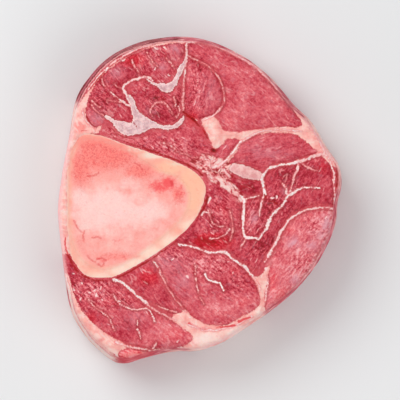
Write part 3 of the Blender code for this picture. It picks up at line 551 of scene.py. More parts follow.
# Fine red-brown lines in the marrow, given as the creases are
MARROW_LINES = (
    (0.2, 0.12, [(-41.4, 9), (-39.4, 9), (-37.4, 9.8)]),
    (0.12, 0.16, [(-24.4, 13.6), (-22.4, 12.6), (-21.2, 11)]),
    (0.14, 0.1, [(-46.6, -7.6), (-45.2, -10.6), (-43.6, -12)]),
    (0.22, 0.14, [(-42.6, -11.6), (-43.2, -13.2), (-43, -14.8)]),
    (0.16, 0.12, [(-39.8, -14), (-38.2, -13.6), (-36.6, -14)]),
    (0.24, 0.18, [(-38, -21.8), (-36.4, -21.6), (-34.8, -22.2)]),
    (0.24, 0.16, [(-37.6, -23.8), (-36.2, -24.4), (-35.4, -23.2)]),
    (0.14, 0.1, [(-41.4, -20.6), (-40, -22.2), (-38.6, -22.8)]),
    (0.4, 0.3, [(-10.5, 6.7), (-10.1, 6.1), (-10.5, 5.5)]),
)
MEAT_ZONES = {
    "deep_red": DEEP_RED, "vivid": VIVID, "painted_sheen": SHEEN_PATCHES,
    "pale_fat": PALE_FAT, "coarse": COARSE, "warm_tendon": WARM_TENDON,
}
BONE_ZONES = {
    "salmon": SALMON, "pale": PALE, "blood": BLOOD, "orange": ORANGE, "cream": CREAM, "ivory": IVORY,
}

# Colours as they look on a screen, from 0 to 255. Each stop of a ramp is a place from 0 to 1 and a colour.
# The lean, plain and where it is brighter red, and the marks on it
PLAIN_LEAN = (
    (0.15, (128, 6, 30)), (0.35, (174, 36, 56)), (0.5, (207, 76, 90)), (0.66, (226, 110, 118)),
    (0.85, (247, 172, 175)),
)
VIVID_LEAN = (
    (0.15, (150, 0, 30)), (0.35, (184, 6, 40)), (0.5, (208, 40, 60)), (0.66, (236, 86, 94)),
    (0.85, (247, 150, 150)),
)
BUNDLE_SEAM = (238, 150, 152)
WEB = (242, 160, 162)
# Painted highlight: pale specks that stand for glints on the wet lean
PAINTED_GLINT = (250, 188, 190)
PIT = (150, 4, 34)
GREY_LEAN = (204, 144, 158)
# Painted sheen: the pale tint of shine on the wet lean
SHEEN_TINT = (224, 164, 177)
LEAN_EDGE = (172, 16, 44)
# Pale rim of the lean: partly a membrane, partly painted light against the rounded rim's shade
LEAN_RIM_LIGHT = (252, 184, 187)

# Sheaths, strands, tendon and creases
SHEATH = (226, 104, 112)
# Painted shade in the groove beside a strand
STRAND_SHADE = (148, 2, 34)
STRAND_EDGE = (230, 112, 120)
WHITE_STRAND = (255, 240, 237)
PEACH_STRAND = (244, 166, 164)
WHITE_FLECK = (253, 216, 213)
TENDON_TONES = ((210, 162, 168), (244, 208, 207))
WARM_TENDON_TONES = ((230, 160, 160), (246, 198, 194))
TENDON_EDGE = (252, 224, 221)
# Painted shade beside the raised tendon
TENDON_SHADE = (150, 4, 34)
# Creases: red that is partly blood and partly painted shade of the gap, with a core of painted shade
SHADED_CREASE_RED = (168, 2, 32)
BRIGHT_CREASE_RED = (196, 0, 30)
FAT_CREASE = (222, 74, 80)
CREASE_CORE_SHADE = (116, 0, 18)

# Fat and the knot
FAT_TONES = ((0.3, (240, 150, 146)), (0.5, (251, 182, 173)), (0.66, (255, 212, 203)))
REDDENED_FAT = (248, 140, 134)
PALEST_FAT = (255, 224, 216)
FAT_THREAD = (255, 226, 218)
# Pale rim of the fat: partly a membrane, partly painted light against the rounded rim's shade
FAT_RIM_LIGHT = (255, 230, 224)
KNOT_TONES = ((0.41, (150, 8, 34)), (0.48, (206, 82, 92)), (0.53, (244, 168, 164)), (0.62, (255, 218, 212)))

# The skin of the side, and the layers of it that show from above, from the outermost inwards
SKIN_ON_LEAN = (
    (0.32, (156, 30, 52)), (0.46, (190, 66, 84)), (0.56, (220, 116, 127)), (0.68, (242, 170, 173)),
)
SKIN_ON_DARK = ((0.36, (98, 6, 28)), (0.5, (138, 28, 50)), (0.58, (180, 84, 100)), (0.68, (214, 134, 142)))
SKIN_ON_FAT = ((0.32, (238, 150, 146)), (0.5, (254, 200, 192)), (0.68, (255, 230, 222)))
VIVID_SKIN = (216, 74, 84)
UPPER_TONES = (
    (0.0, (112, 10, 32)), (0.09, (96, 4, 26)), (0.16, (158, 56, 74)), (0.26, (200, 112, 122)),
    (0.32, (112, 10, 34)), (0.37, (126, 20, 42)), (0.43, (240, 160, 160)), (0.6, (250, 188, 184)),
)
UPPER_PATCH = (200, 112, 122)
LOWER_TONES = (
    (0.0, (238, 196, 196)), (0.15, (255, 228, 222)), (0.34, (252, 214, 208)), (0.42, (224, 138, 142)),
    (0.5, (250, 190, 184)),
)

# The bone's wall, with the strength between which each of its zones sets in, and the marrow
WALL_TONES = ((249, 166, 150), (252, 188, 170))
WALL_ZONES = (
    ("orange", 0.1, 0.7, (254, 189, 162)), ("cream", -0.05, 0.95, (254, 215, 198)),
    ("ivory", 0.15, 0.7, (243, 216, 200)),
)
# Painted highlight along the bone's outer edge
WALL_EDGE_HIGHLIGHT = (254, 214, 198)
# Crimson round the bone's rim: partly blood, partly painted shade of the gap to the meat
RIM_BLOOD_AND_SHADE = (182, 8, 34)
THIN_WALL = (250, 146, 135)
MARROW_TONES = ((249, 162, 154), (252, 192, 183))
SALMON_MARROW = (250, 138, 130)
PALE_MARROW = (252, 208, 202)
MARROW_THREAD = (214, 78, 80)
MARROW_LACE = (228, 82, 80)
MARROW_HAZE = (252, 204, 196)
MARROW_LINE = (222, 64, 66)
BLED = (243, 86, 90)
BONE_GLINT = (255, 222, 212)
FLOOR_TONES = ((224, 225, 226), (230, 231, 232))


# Curves and distances in the plane of the cut

def smooth_line(points, closed, steps=OUTLINE_STEPS):
    """A Catmull-Rom curve through the points, as an array of steps points for each span."""
    knots = np.array(points, float)
    if closed:
        knots = np.vstack([knots[-1:], knots, knots[:2]])
    else:
        knots = np.vstack([knots[:1], knots, knots[-1:]])
    t = (np.arange(steps) / steps)[:, None]
    spans = []
    for a, b, c, d in zip(knots[:-3], knots[1:-2], knots[2:-1], knots[3:]):
        square = 2 * a - 5 * b + 4 * c - d
        cube = 3 * b - a - 3 * c + d
        spans.append(0.5 * (2 * b + (c - a) * t + square * t**2 + cube * t**3))
    if not closed:
        spans.append(knots[-1:])
    return np.vstack(spans)


def drawing_frame():
    """Scale from drawn millimetres to metres, and the drawn point that becomes the origin."""
    outline = smooth_line(SLICE, True)
    low, high = outline.min(0), outline.max(0)
    return SLICE_LENGTH / (high[1] - low[1]), (low + high) / 2


DRAWN_SCALE, DRAWN_MIDDLE = drawing_frame()


def in_metres(points):
    return (np.asarray(points, float) - DRAWN_MIDDLE) * DRAWN_SCALE


def loop_in_metres(points, grow=0.0, steps=OUTLINE_STEPS):
    """A closed smooth outline in metres, moved outwards by grow."""
    loop = in_metres(smooth_line(points, True, steps))
    along = np.roll(loop, -1, 0) - np.roll(loop, 1, 0)
    along /= np.linalg.norm(along, axis=1)[:, None]
    area = np.sum(loop[:, 0] * np.roll(loop[:, 1], -1) - loop[:, 1] * np.roll(loop[:, 0], -1))
    outwards = np.column_stack([along[:, 1], -along[:, 0]]) * math.copysign(1, area)
    return loop + outwards * grow


def smoothstep(low, high, value):
    """0 up to low, 1 from high, and a smooth rise between them."""
    t = np.clip((value - low) / (high - low), 0, 1)
    return t * t * (3 - 2 * t)


def distance_to_line(points, line, widths=None):
    """The distance of each point from a chain of straight pieces, less the chain's half width there."""
    nearest = np.full(len(points), np.inf)
    if widths is None:
        widths = np.zeros(len(line))
    for a, b, wide_a, wide_b in zip(line[:-1], line[1:], widths[:-1], widths[1:]):
        run = b - a
        share = np.clip((points - a) @ run / max(run @ run, 1e-18), 0, 1)
        apart = np.linalg.norm(points - a - share[:, None] * run, axis=1)
        nearest = np.minimum(nearest, apart - wide_a - share * (wide_b - wide_a))
    return nearest


def depth_inside(points, loop):
    """The distance of each point from a closed outline, positive inside it and negative outside."""
    closed = np.vstack([loop, loop[:1]])
    inside = np.zeros(len(points), bool)
    for a, b in zip(closed[:-1], closed[1:]):
        if a[1] == b[1]:
            continue
        crosses = (a[1] > points[:, 1]) != (b[1] > points[:, 1])
        at = a[0] + (points[:, 1] - a[1]) * (b[0] - a[0]) / (b[1] - a[1])
        inside ^= crosses & (points[:, 0] < at)
    return np.where(inside, 1, -1) * distance_to_line(points, closed)


def near(points, line, reach):
    """Which points lie within reach of a line's box."""
    low, high = line.min(0) - reach, line.max(0) + reach
    return np.all((points > low) & (points < high), axis=1)


def local_depth(points, outline, reach):
    """depth_inside, worked out only within reach of the outline and held at -reach beyond."""
    loop = loop_in_metres(outline)
    depth = np.full(len(points), -reach)
    close = near(points, loop, reach)
    depth[close] = depth_inside(points[close], loop).clip(-reach)
    return depth


def strength_in(points, zones):
    """The strongest of some soft oval zones at each point."""
    strongest = np.zeros(len(points))
    for x, y, wide, deep, strength in zones:
        off = (points - in_metres((x, y))) / (np.array([wide, deep]) * MM)
        strongest = np.maximum(strongest, strength * np.exp(-np.sum(off**2, axis=1)))
    return strongest


def noise_at(points, size, offset=0.0):
    """Smooth noise from -1 to 1 with bumps about size across."""
    shift = Vector((offset, offset, offset))
    return np.array([noise.noise(Vector(p) + shift) for p in points / size])


def drift_at(points, size):
    """Smooth sideways pushes of up to about 1, with bumps about size across."""
    return np.array([noise.noise_vector(Vector(p)).xy for p in points / size])


def angle_of(points):
    """The direction of each point from the origin, in degrees from +X towards +Y."""
    return np.degrees(np.arctan2(points[:, 1], points[:, 0]))


def off_angle(angle, middle):
    """How far an angle lies from another, from -180 to 180 degrees."""
    return (angle - middle + 180) % 360 - 180


# Meshes from Blender's tools

def evaluated_mesh(piece):
    """The piece's mesh with its modifiers applied."""
    bpy.context.view_layer.update()
    return bpy.data.meshes.new_from_object(piece.evaluated_get(bpy.context.evaluated_depsgraph_get()))


def apply_modifiers(piece):
    mesh = evaluated_mesh(piece)
    piece.modifiers.clear()
    piece.data = mesh


def weld(mesh):
    """Joins the points that lie in one place."""
    joined = bmesh.new()
    joined.from_mesh(mesh)
    bmesh.ops.remove_doubles(joined, verts=joined.verts, dist=WELD)
    joined.to_mesh(mesh)
    joined.free()


def plate(name, loops, top):
    """A flat outline, with its holes, made as thick as from the floor to top."""
    curve = bpy.data.curves.new(name, "CURVE")
    curve.dimensions = "2D"
    curve.fill_mode = "BOTH"
    curve.extrude = top / 2
    for loop in loops:
        spline = curve.splines.new("POLY")
        spline.points.add(len(loop) - 1)
        places = np.column_stack([loop, np.zeros(len(loop)), np.ones(len(loop))])
        spline.points.foreach_set("co", places.ravel())
        spline.use_cyclic_u = True
    drawn = bpy.data.objects.new(name + "_outline", curve)
    drawn.location.z = top / 2
    bpy.context.scene.collection.objects.link(drawn)
    made = bpy.data.objects.new(name, evaluated_mesh(drawn))
    made.data.transform(drawn.matrix_world)
    bpy.context.scene.collection.objects.link(made)
    bpy.data.objects.remove(drawn)
    weld(made.data)
    return made


def weigh_rims(piece, radius_at, widest):
    """Marks the sharp edges with the share of the widest rounding that each should have."""
    sharp = bmesh.new()
    sharp.from_mesh(piece.data)
    weight = sharp.edges.layers.float.new("bevel_weight_edge")
    for edge in sharp.edges:
        if edge.calc_face_angle(0) > SHARP_EDGE:
            middle = (edge.verts[0].co + edge.verts[1].co) / 2
            edge[weight] = radius_at(middle) / widest
    sharp.to_mesh(piece.data)
    sharp.free()


def evenly_faced(piece, radius_at, widest, voxel, passes):
    """Rounds the plate's edges, by a radius that may vary with the place, and covers it with even faces."""
    weigh_rims(piece, radius_at, widest)
    bevel = piece.modifiers.new("rounded edges", "BEVEL")
    bevel.width = widest
    bevel.segments = RIM_SEGMENTS
    bevel.limit_method = "WEIGHT"
    even = piece.modifiers.new("even faces", "REMESH")
    even.mode = "VOXEL"
    even.voxel_size = voxel
    soft = piece.modifiers.new("soft rim", "SMOOTH")
    soft.iterations = passes
    apply_modifiers(piece)


def halve_faces(piece, wanted):
    """Divides each face in four where wanted says so, from its middle and how far it looks upwards."""
    fine = bmesh.new()
    fine.from_mesh(piece.data)
    fine.normal_update()
    middles = np.array([face.calc_center_median() for face in fine.faces])
    upwards = np.array([face.normal.z for face in fine.faces])
    chosen = wanted(middles, upwards)
    edges = [edge for edge in fine.edges if any(chosen[face.index] for face in edge.link_faces)]
    bmesh.ops.subdivide_edges(fine, edges=edges, cuts=1, use_grid_fill=True)
    fine.to_mesh(piece.data)
    fine.free()


def on_upper_cut(middles, upwards):
    return (upwards > LEVEL) & (middles[:, 2] > SLICE_THICKNESS - FINE_BAND)


def by_a_strand(middles, upwards):
    strand = read_strands(middles[:, :2], STRANDS + slivers())[0]
    return (np.abs(upwards) > LEVEL) & (strand > -STRAND_REACH)


def points_of(piece):
    points = np.empty(len(piece.data.vertices) * 3)
    piece.data.vertices.foreach_get("co", points)
    return points.reshape(-1, 3)


def move_points(piece, points):
    piece.data.vertices.foreach_set("co", points.ravel())
    piece.data.update()


def seated(heights, voxel, top):
    """The heights kept from 0 to top, with those of the underside at 0."""
    return np.where(heights < voxel / 2, 0, heights).clip(0, top)


def give(piece, name, values):
    """Stores one number for each point of the mesh, for the materials to read."""
    attribute = piece.data.attributes.new(name, "FLOAT", "POINT")
    attribute.data.foreach_set("value", np.asarray(values, np.float32))


# The side of the meat, as in the solids

def side_slant(angle):
    """How far the side leans in from its foot to the upper rim, at an angle round the slice in degrees."""
    inset = np.zeros(len(angle))
    for middle, spread, most in (UPPER_SLANT, LOWER_SLANT):
        inset += most * np.exp(-((off_angle(angle, middle) / spread) ** 2))
    return inset


def beyond_bone_side(angle):
    """0 beside the bone, where only a thin sheath covers it, and 1 round the rest of the side."""
    off = np.abs(off_angle(angle, BONE_SIDE))
    return smoothstep(BONE_SIDE_HALF, BONE_SIDE_HALF + BONE_SIDE_FADE, off)


def steps_round(points):
    """The direction of each point from the origin, from +X towards +Y, counted in ANGLES equal steps."""
    return angle_of(points) % 360 * ANGLES / 360


def radius_round(points):
    """The largest radius of the points in each of the steps round the origin."""
    widest = np.zeros(ANGLES)
    np.maximum.at(widest, steps_round(points).astype(int) % ANGLES, np.linalg.norm(points, axis=1))
    return widest


def fit_outline(plan, near_rim):
    """Draws the side in or out all round, until its widest points meet the drawn outline."""
    ratio = radius_round(loop_in_metres(SLICE, steps=FIT_STEPS)) / radius_round(plan)
    ratio = np.mean([np.roll(ratio, shift) for shift in range(-EVENED, EVENED + 1)], axis=0)
    wanted = np.interp(steps_round(plan), np.arange(ANGLES) + 0.5, ratio, period=ANGLES)
    plan *= (1 + (wanted - 1) * near_rim)[:, None]


def shape_side(points):
    """Leans, rounds and lumps the side of the blank, then fits its widest points to the drawn outline."""
    plan = points[:, :2]
    rim = loop_in_metres(SLICE)
    near_rim = 1 - smoothstep(0, SIDE_BAND, depth_inside(plan, rim))
    angle = angle_of(plan)
    height = points[:, 2] / SLICE_THICKNESS
    off_middle = np.abs(2 * height - 1)
    rounding = BARREL * off_middle**2 + RIM_ROUND * off_middle**8
    wave = np.sin(np.radians(angle) * SIDE_LUMPS_ROUND + SIDE_LUMP_TWIST * height)
    lump = SIDE_LUMP * wave * np.sin(math.pi * height)
    lean = side_slant(angle) * (height**SLANT_POWER - SLANT_FOOT)
    push = (lump - rounding) * beyond_bone_side(angle) - lean
    outwards = plan / np.linalg.norm(plan, axis=1).clip(MM)[:, None]
    plan += outwards * (push * near_rim)[:, None]
    fit_outline(plan, near_rim)
    low, high = rim.min(0), rim.max(0)
    plan[:] = low + (plan - plan.min(0)) * (high - low) / np.ptp(plan, axis=0)


def between(angle, limits):
    """1 where the angle lies between the two middle limits, falling to 0 at the outer ones."""
    return smoothstep(limits[0], limits[1], angle) * (1 - smoothstep(limits[2], limits[3], angle))


def on_skin(height, from_rim):
    """1 on the side of the slice, falling to 0 on both its cuts."""
    skin = smoothstep(*SKIN_FOOT, height) * (1 - smoothstep(*SKIN_TOP, height - SLICE_THICKNESS))
    return skin * (1 - smoothstep(*SKIN_DEPTH, from_rim))


# What each point of the meat is

def swayed(points):
    """The plan of the points, swaying below the upper cut as muscles do on their way through the slice."""
    low = 1 - smoothstep(SLICE_THICKNESS - FACE_DEPTH, SLICE_THICKNESS - MM, points[:, 2])
    return points[:, :2] + drift_at(points, SWAY_SIZE) * (SWAY * low)[:, None]


def read_muscles(plan):
    """At each point: the depth inside a muscle, its swell, its pinkness and which way its grain runs."""
    depth = np.full(len(plan), -MUSCLE_REACH)
    swell = np.zeros(len(plan))
    weight = np.full(len(plan), 1e-9)
    pink = np.full(len(plan), 0.5e-9)
    grain = np.zeros(len(plan))
    for rise, pinkness, run, outline in MUSCLES.values():
        inside = local_depth(plan, outline, MUSCLE_REACH)
        swell = np.maximum(swell, (SEAM_DEPTH + rise * MM) * (1 - np.exp(-inside.clip(0) / MUSCLE_RUN)))
        grain = np.where(inside > depth, math.radians(run), grain)
        depth = np.maximum(depth, inside)
        share = np.exp(inside.clip(-MUSCLE_REACH, MM) / PINK_BLEND) * (inside > -MUSCLE_REACH)
        weight += share
        pink += share * pinkness
    return depth, swell, pink / weight, grain


def strayed(plan, stray):
    """The points pushed about by smooth noise."""
    for size, most in stray:
        plan = plan + most * drift_at(np.column_stack([plan, np.zeros(len(plan))]), size)
    return plan


def slivers():
    """The flecks as short strands, each narrowing from one end to the other."""
    made = []
    for x, y, half, length, lie in FLECKS:
        reach = np.array([math.cos(math.radians(lie)), math.sin(math.radians(lie))]) * length / 2
        made.append((half, half * 0.6, 0.0, [(x, y) - reach, (x, y) + reach]))
    return tuple(made)


def depth_in_line(plan, half_a, half_b, points):
    """Which points lie near a drawn line, and how deep each of those lies in it."""
    line = in_metres(smooth_line(points, False))
    close = near(plan, line, LINE_REACH)
    widths = np.linspace(half_a, half_b, len(line)) * MM
    return close, -distance_to_line(plan[close], line, widths)


def read_strands(plan, strands):
    """At each point: the depth inside a strand, and how warm its colour is."""
    plan = strayed(plan, STRAND_STRAY)
    depth = np.full(len(plan), -LINE_REACH)
    warmth = np.zeros(len(plan))
    for half_a, half_b, warm, points in strands:
        close, inside = depth_in_line(plan, half_a, half_b, points)
        warmth[close] = np.where(inside > depth[close], warm, warmth[close])
        depth[close] = np.maximum(depth[close], inside)
    return depth, warmth


def read_lines(plan, lines):
    """At each point: the depth inside a dark line."""
    plan = strayed(plan, CREASE_STRAY)
    depth = np.full(len(plan), -LINE_REACH)
    for half_a, half_b, points in lines:
        close, inside = depth_in_line(plan, half_a, half_b, points)
        depth[close] = np.maximum(depth[close], inside)
    return depth


def deepest_in(plan, outlines):
    return np.max([local_depth(plan, outline, PATCH_REACH) for outline in outlines], axis=0)


def give_depths(meat, depths):
    for name, depth in depths.items():
        give(meat, name, depth / MM)


def give_side(meat, points, from_rim):
    """Where the side is, and where its layers show from above."""
    height = points[:, 2]
    near_top = smoothstep(SLICE_THICKNESS - LAYERS_GONE, SLICE_THICKNESS - LAYERS_WHOLE, height)
    upper = between(angle_of(points), UPPER_LAYERS)
    lower = between(angle_of(points), LOWER_LAYERS)
    give(meat, "side", on_skin(height, from_rim))
    give(meat, "upper_side", upper)
    give(meat, "upper_layers", upper * near_top)
    give(meat, "lower_layers", lower * near_top)


def give_zones(piece, plan, zones):
    for name, ovals in zones.items():
        give(piece, name, strength_in(plan, ovals))


# The meat

def meat_rim(place):
    """The outer rim is well rounded, and the edge along the bone barely."""
    to_bone = distance_to_line(np.array([place.xy]), loop_in_metres(BONE, -MEAT_OVERLAP))[0]
    return BONE_RIM_RADIUS if to_bone < MM else RIM_RADIUS


def fine_relief(points, depths):
    """The small rises and dips of the cut that the solids leave out."""
    strand = depths["strand"]
    lean = smoothstep(0, 1.5 * MM, depths["muscle"])
    relief = UNEVENNESS * noise_at(points, 6 * MM)
    relief += BUNDLE_RELIEF * noise_at(points * ALONG_FIBRES, 1.5 * MM, 7) * lean
    relief += FIBRE_RELIEF * noise_at(points * ALONG_FIBRES, 0.8 * MM, 3) * lean
    relief += STRAND_RISE * smoothstep(-0.5 * MM, 0.3 * MM, strand)
    relief -= STRAND_RISE * smoothstep(-1.2 * MM, -0.5 * MM, strand) * (1 - smoothstep(-0.5 * MM, 0, strand))
    relief -= CREASE_SINK * smoothstep(-0.6 * MM, 0.5 * MM, depths["crease"])
    relief += TENDON_RISE * smoothstep(-0.3 * MM, 1.2 * MM, depths["tendon"])
    lumps = 1 + noise_at(points, 2.5 * MM, 11)
    relief += FAT_LUMP * smoothstep(0, 1.5 * MM, depths["fat"]) * (1 - lean) * lumps / 2
    return relief


def upper_relief(points, plan, swell, depths):
    """The height of the upper cut from the highest muscle: seams, cleft and the bone's edge are lower."""
    from_bone = -depth_inside(points[:, :2], loop_in_metres(BONE))
    relief = swell + FAT_RISE * (1 - np.exp(-(-depths["muscle"]).clip(0) / FAT_RUN)) - SEAM_DEPTH
    relief -= max(muscle[0] for muscle in MUSCLES.values()) * MM
    relief += (-BONE_STEP - relief) * np.exp(-from_bone.clip(0) / BONE_STEP_RUN)
    relief -= BONE_GAP * (1 - smoothstep(*BONE_GAP_RUN, from_bone))
    cleft = in_metres(smooth_line(CLEFT, False))
    relief -= CLEFT_DEPTH * (1 - smoothstep(0, CLEFT_HALF_WIDTH, distance_to_line(plan, cleft)))
    return relief + fine_relief(points, depths)


def shape_cuts(meat, points, plan, swell, depths):
    """Shapes the upper cut, and draws the seams back from what the slice rests on."""
    height = points[:, 2].copy()
    upper = upper_relief(points, plan, swell, depths)
    lower = REST_RECESS * (1 - smoothstep(0, REST_RUN, depths["muscle"]))
    points[:, 2] += upper * smoothstep(SLICE_THICKNESS - FACE_DEPTH, SLICE_THICKNESS, height)
    points[:, 2] += lower * (1 - smoothstep(0, FACE_DEPTH, height))
    points[:, 2] = points[:, 2].clip(0, SLICE_THICKNESS)
    move_points(meat, points)


def meat_blank():
    """The slice with its side shaped and its cuts still flat, with finer faces where the relief is fine."""
    outlines = [loop_in_metres(SLICE), loop_in_metres(BONE, -MEAT_OVERLAP)]
    meat = plate("shank_meat", outlines, SLICE_THICKNESS)
    evenly_faced(meat, meat_rim, RIM_RADIUS, VOXEL, SMOOTH_PASSES)
    points = points_of(meat)
    points[:, 2] = seated(points[:, 2], VOXEL, SLICE_THICKNESS)
    shape_side(points)
    move_points(meat, points)
    halve_faces(meat, on_upper_cut)
    halve_faces(meat, by_a_strand)
    return meat


def make_meat():
    """The lean, fat and sheaths, with the relief of the cut and what each point of it is."""
    meat = meat_blank()
    points = points_of(meat)
    plan = swayed(points)
    muscle, swell, pink, grain = read_muscles(plan)
    strand, warmth = read_strands(plan, STRANDS)
    depths = {
        "muscle": muscle,
        "strand": strand,
        "fleck": read_strands(plan, slivers())[0],
        "crease": read_lines(plan, CREASES),
        "fat": deepest_in(plan, FAT),
        "knot": deepest_in(plan, [KNOT]),
        "tendon": deepest_in(plan, TENDONS),
        "rim": depth_inside(points[:, :2], loop_in_metres(SLICE)),
    }
    give_depths(meat, depths)
    give(meat, "pink", pink + PINKER_BY * strength_in(plan, PINKER))
    give(meat, "warmth", warmth)
    give(meat, "grain", grain)
    give_side(meat, points, depths["rim"])
    give_zones(meat, plan, MEAT_ZONES)
    shape_cuts(meat, points, plan, swell, depths)
    return meat


# The bone and the marrow

def describe_bone(piece, plan):
    """Tells the materials what each point of the bone or the marrow is."""
    give(piece, "rim", depth_inside(plan, loop_in_metres(BONE)) / MM)
    give(piece, "core", depth_inside(plan, loop_in_metres(MARROW)) / MM)
    give(piece, "line", read_lines(plan, MARROW_LINES) / MM)
    give_zones(piece, plan, BONE_ZONES)


def bone_rim(place):
    """The bone's outer edge is a little rounded, and where it meets the marrow hardly."""
    to_marrow = distance_to_line(np.array([place.xy]), loop_in_metres(MARROW))[0]
    return MARROW_EDGE if to_marrow < MM else BONE_EDGE


def lower_the_cut(points, further):
    """Makes the saw cut of bone or marrow a little uneven, and lowers it further where asked."""
    top = smoothstep(BONE_HEIGHT - SAW_BAND, BONE_HEIGHT, points[:, 2])
    wave = SAW_WAVE * noise_at(points * (1, 1, 0), 5 * MM)
    points[:, 2] -= (SAW_SINK + wave + further) * top
    points[:, 2] = seated(points[:, 2], BONE_VOXEL, BONE_HEIGHT)


def sawn_plate(name, loops, rim_at, widest):
    """A blank of bone or marrow with fine faces on its upper cut."""
    piece = plate(name, loops, BONE_HEIGHT)
    evenly_faced(piece, rim_at, widest, BONE_VOXEL, BONE_SMOOTH_PASSES)
    halve_faces(piece, on_upper_cut)
    return piece


def make_bone():
    """The sawn wall of the shin bone."""
    outlines = [loop_in_metres(BONE, steps=BONE_STEPS), loop_in_metres(MARROW, steps=BONE_STEPS)]
    bone = sawn_plate("shank_bone", outlines, bone_rim, BONE_EDGE)
    points = points_of(bone)
    lower_the_cut(points, 0)
    move_points(bone, points)
    describe_bone(bone, points[:, :2])
    return bone


def marrow_sag(points):
    """How far the marrow's cut lies below the sawn bone's, in mm."""
    inside = depth_inside(points[:, :2], loop_in_metres(MARROW))
    uneven = MARROW_WAVE * noise_at(points, 6 * MM, 5) + MARROW_RIPPLE * noise_at(points, 1.6 * MM)
    under_the_wall = 1 - smoothstep(-1.3 * MM, -0.7 * MM, inside)
    sunk = MARROW_SINK * smoothstep(0, 5 * MM, inside) + uneven * smoothstep(0, 3 * MM, inside)
    return sunk - MARROW_LAP + MARROW_DIP * under_the_wall


def make_marrow():
    """The marrow and spongy bone inside the wall, a little uneven on the cut."""
    outlines = [loop_in_metres(MARROW, MARROW_OVERLAP, BONE_STEPS)]
    marrow = sawn_plate("shank_marrow", outlines, lambda place: MARROW_EDGE, MARROW_EDGE)
    points = points_of(marrow)
    lower_the_cut(points, marrow_sag(points) * MM)
    move_points(marrow, points)
    describe_bone(marrow, points[:, :2])
    return marrow


# Materials

def shown(red, green, blue):
    """The colour a surface needs to look like this one on a screen, from 0 to 255, in the scene's light."""
    seen = np.array([red, green, blue]) / 255
    linear = np.where(seen <= 0.04045, seen / 12.92, ((seen + 0.055) / 1.055) ** 2.4)
    return (*((linear - GLOSS) / LIGHT).clip(0.002, 1), 1.0)


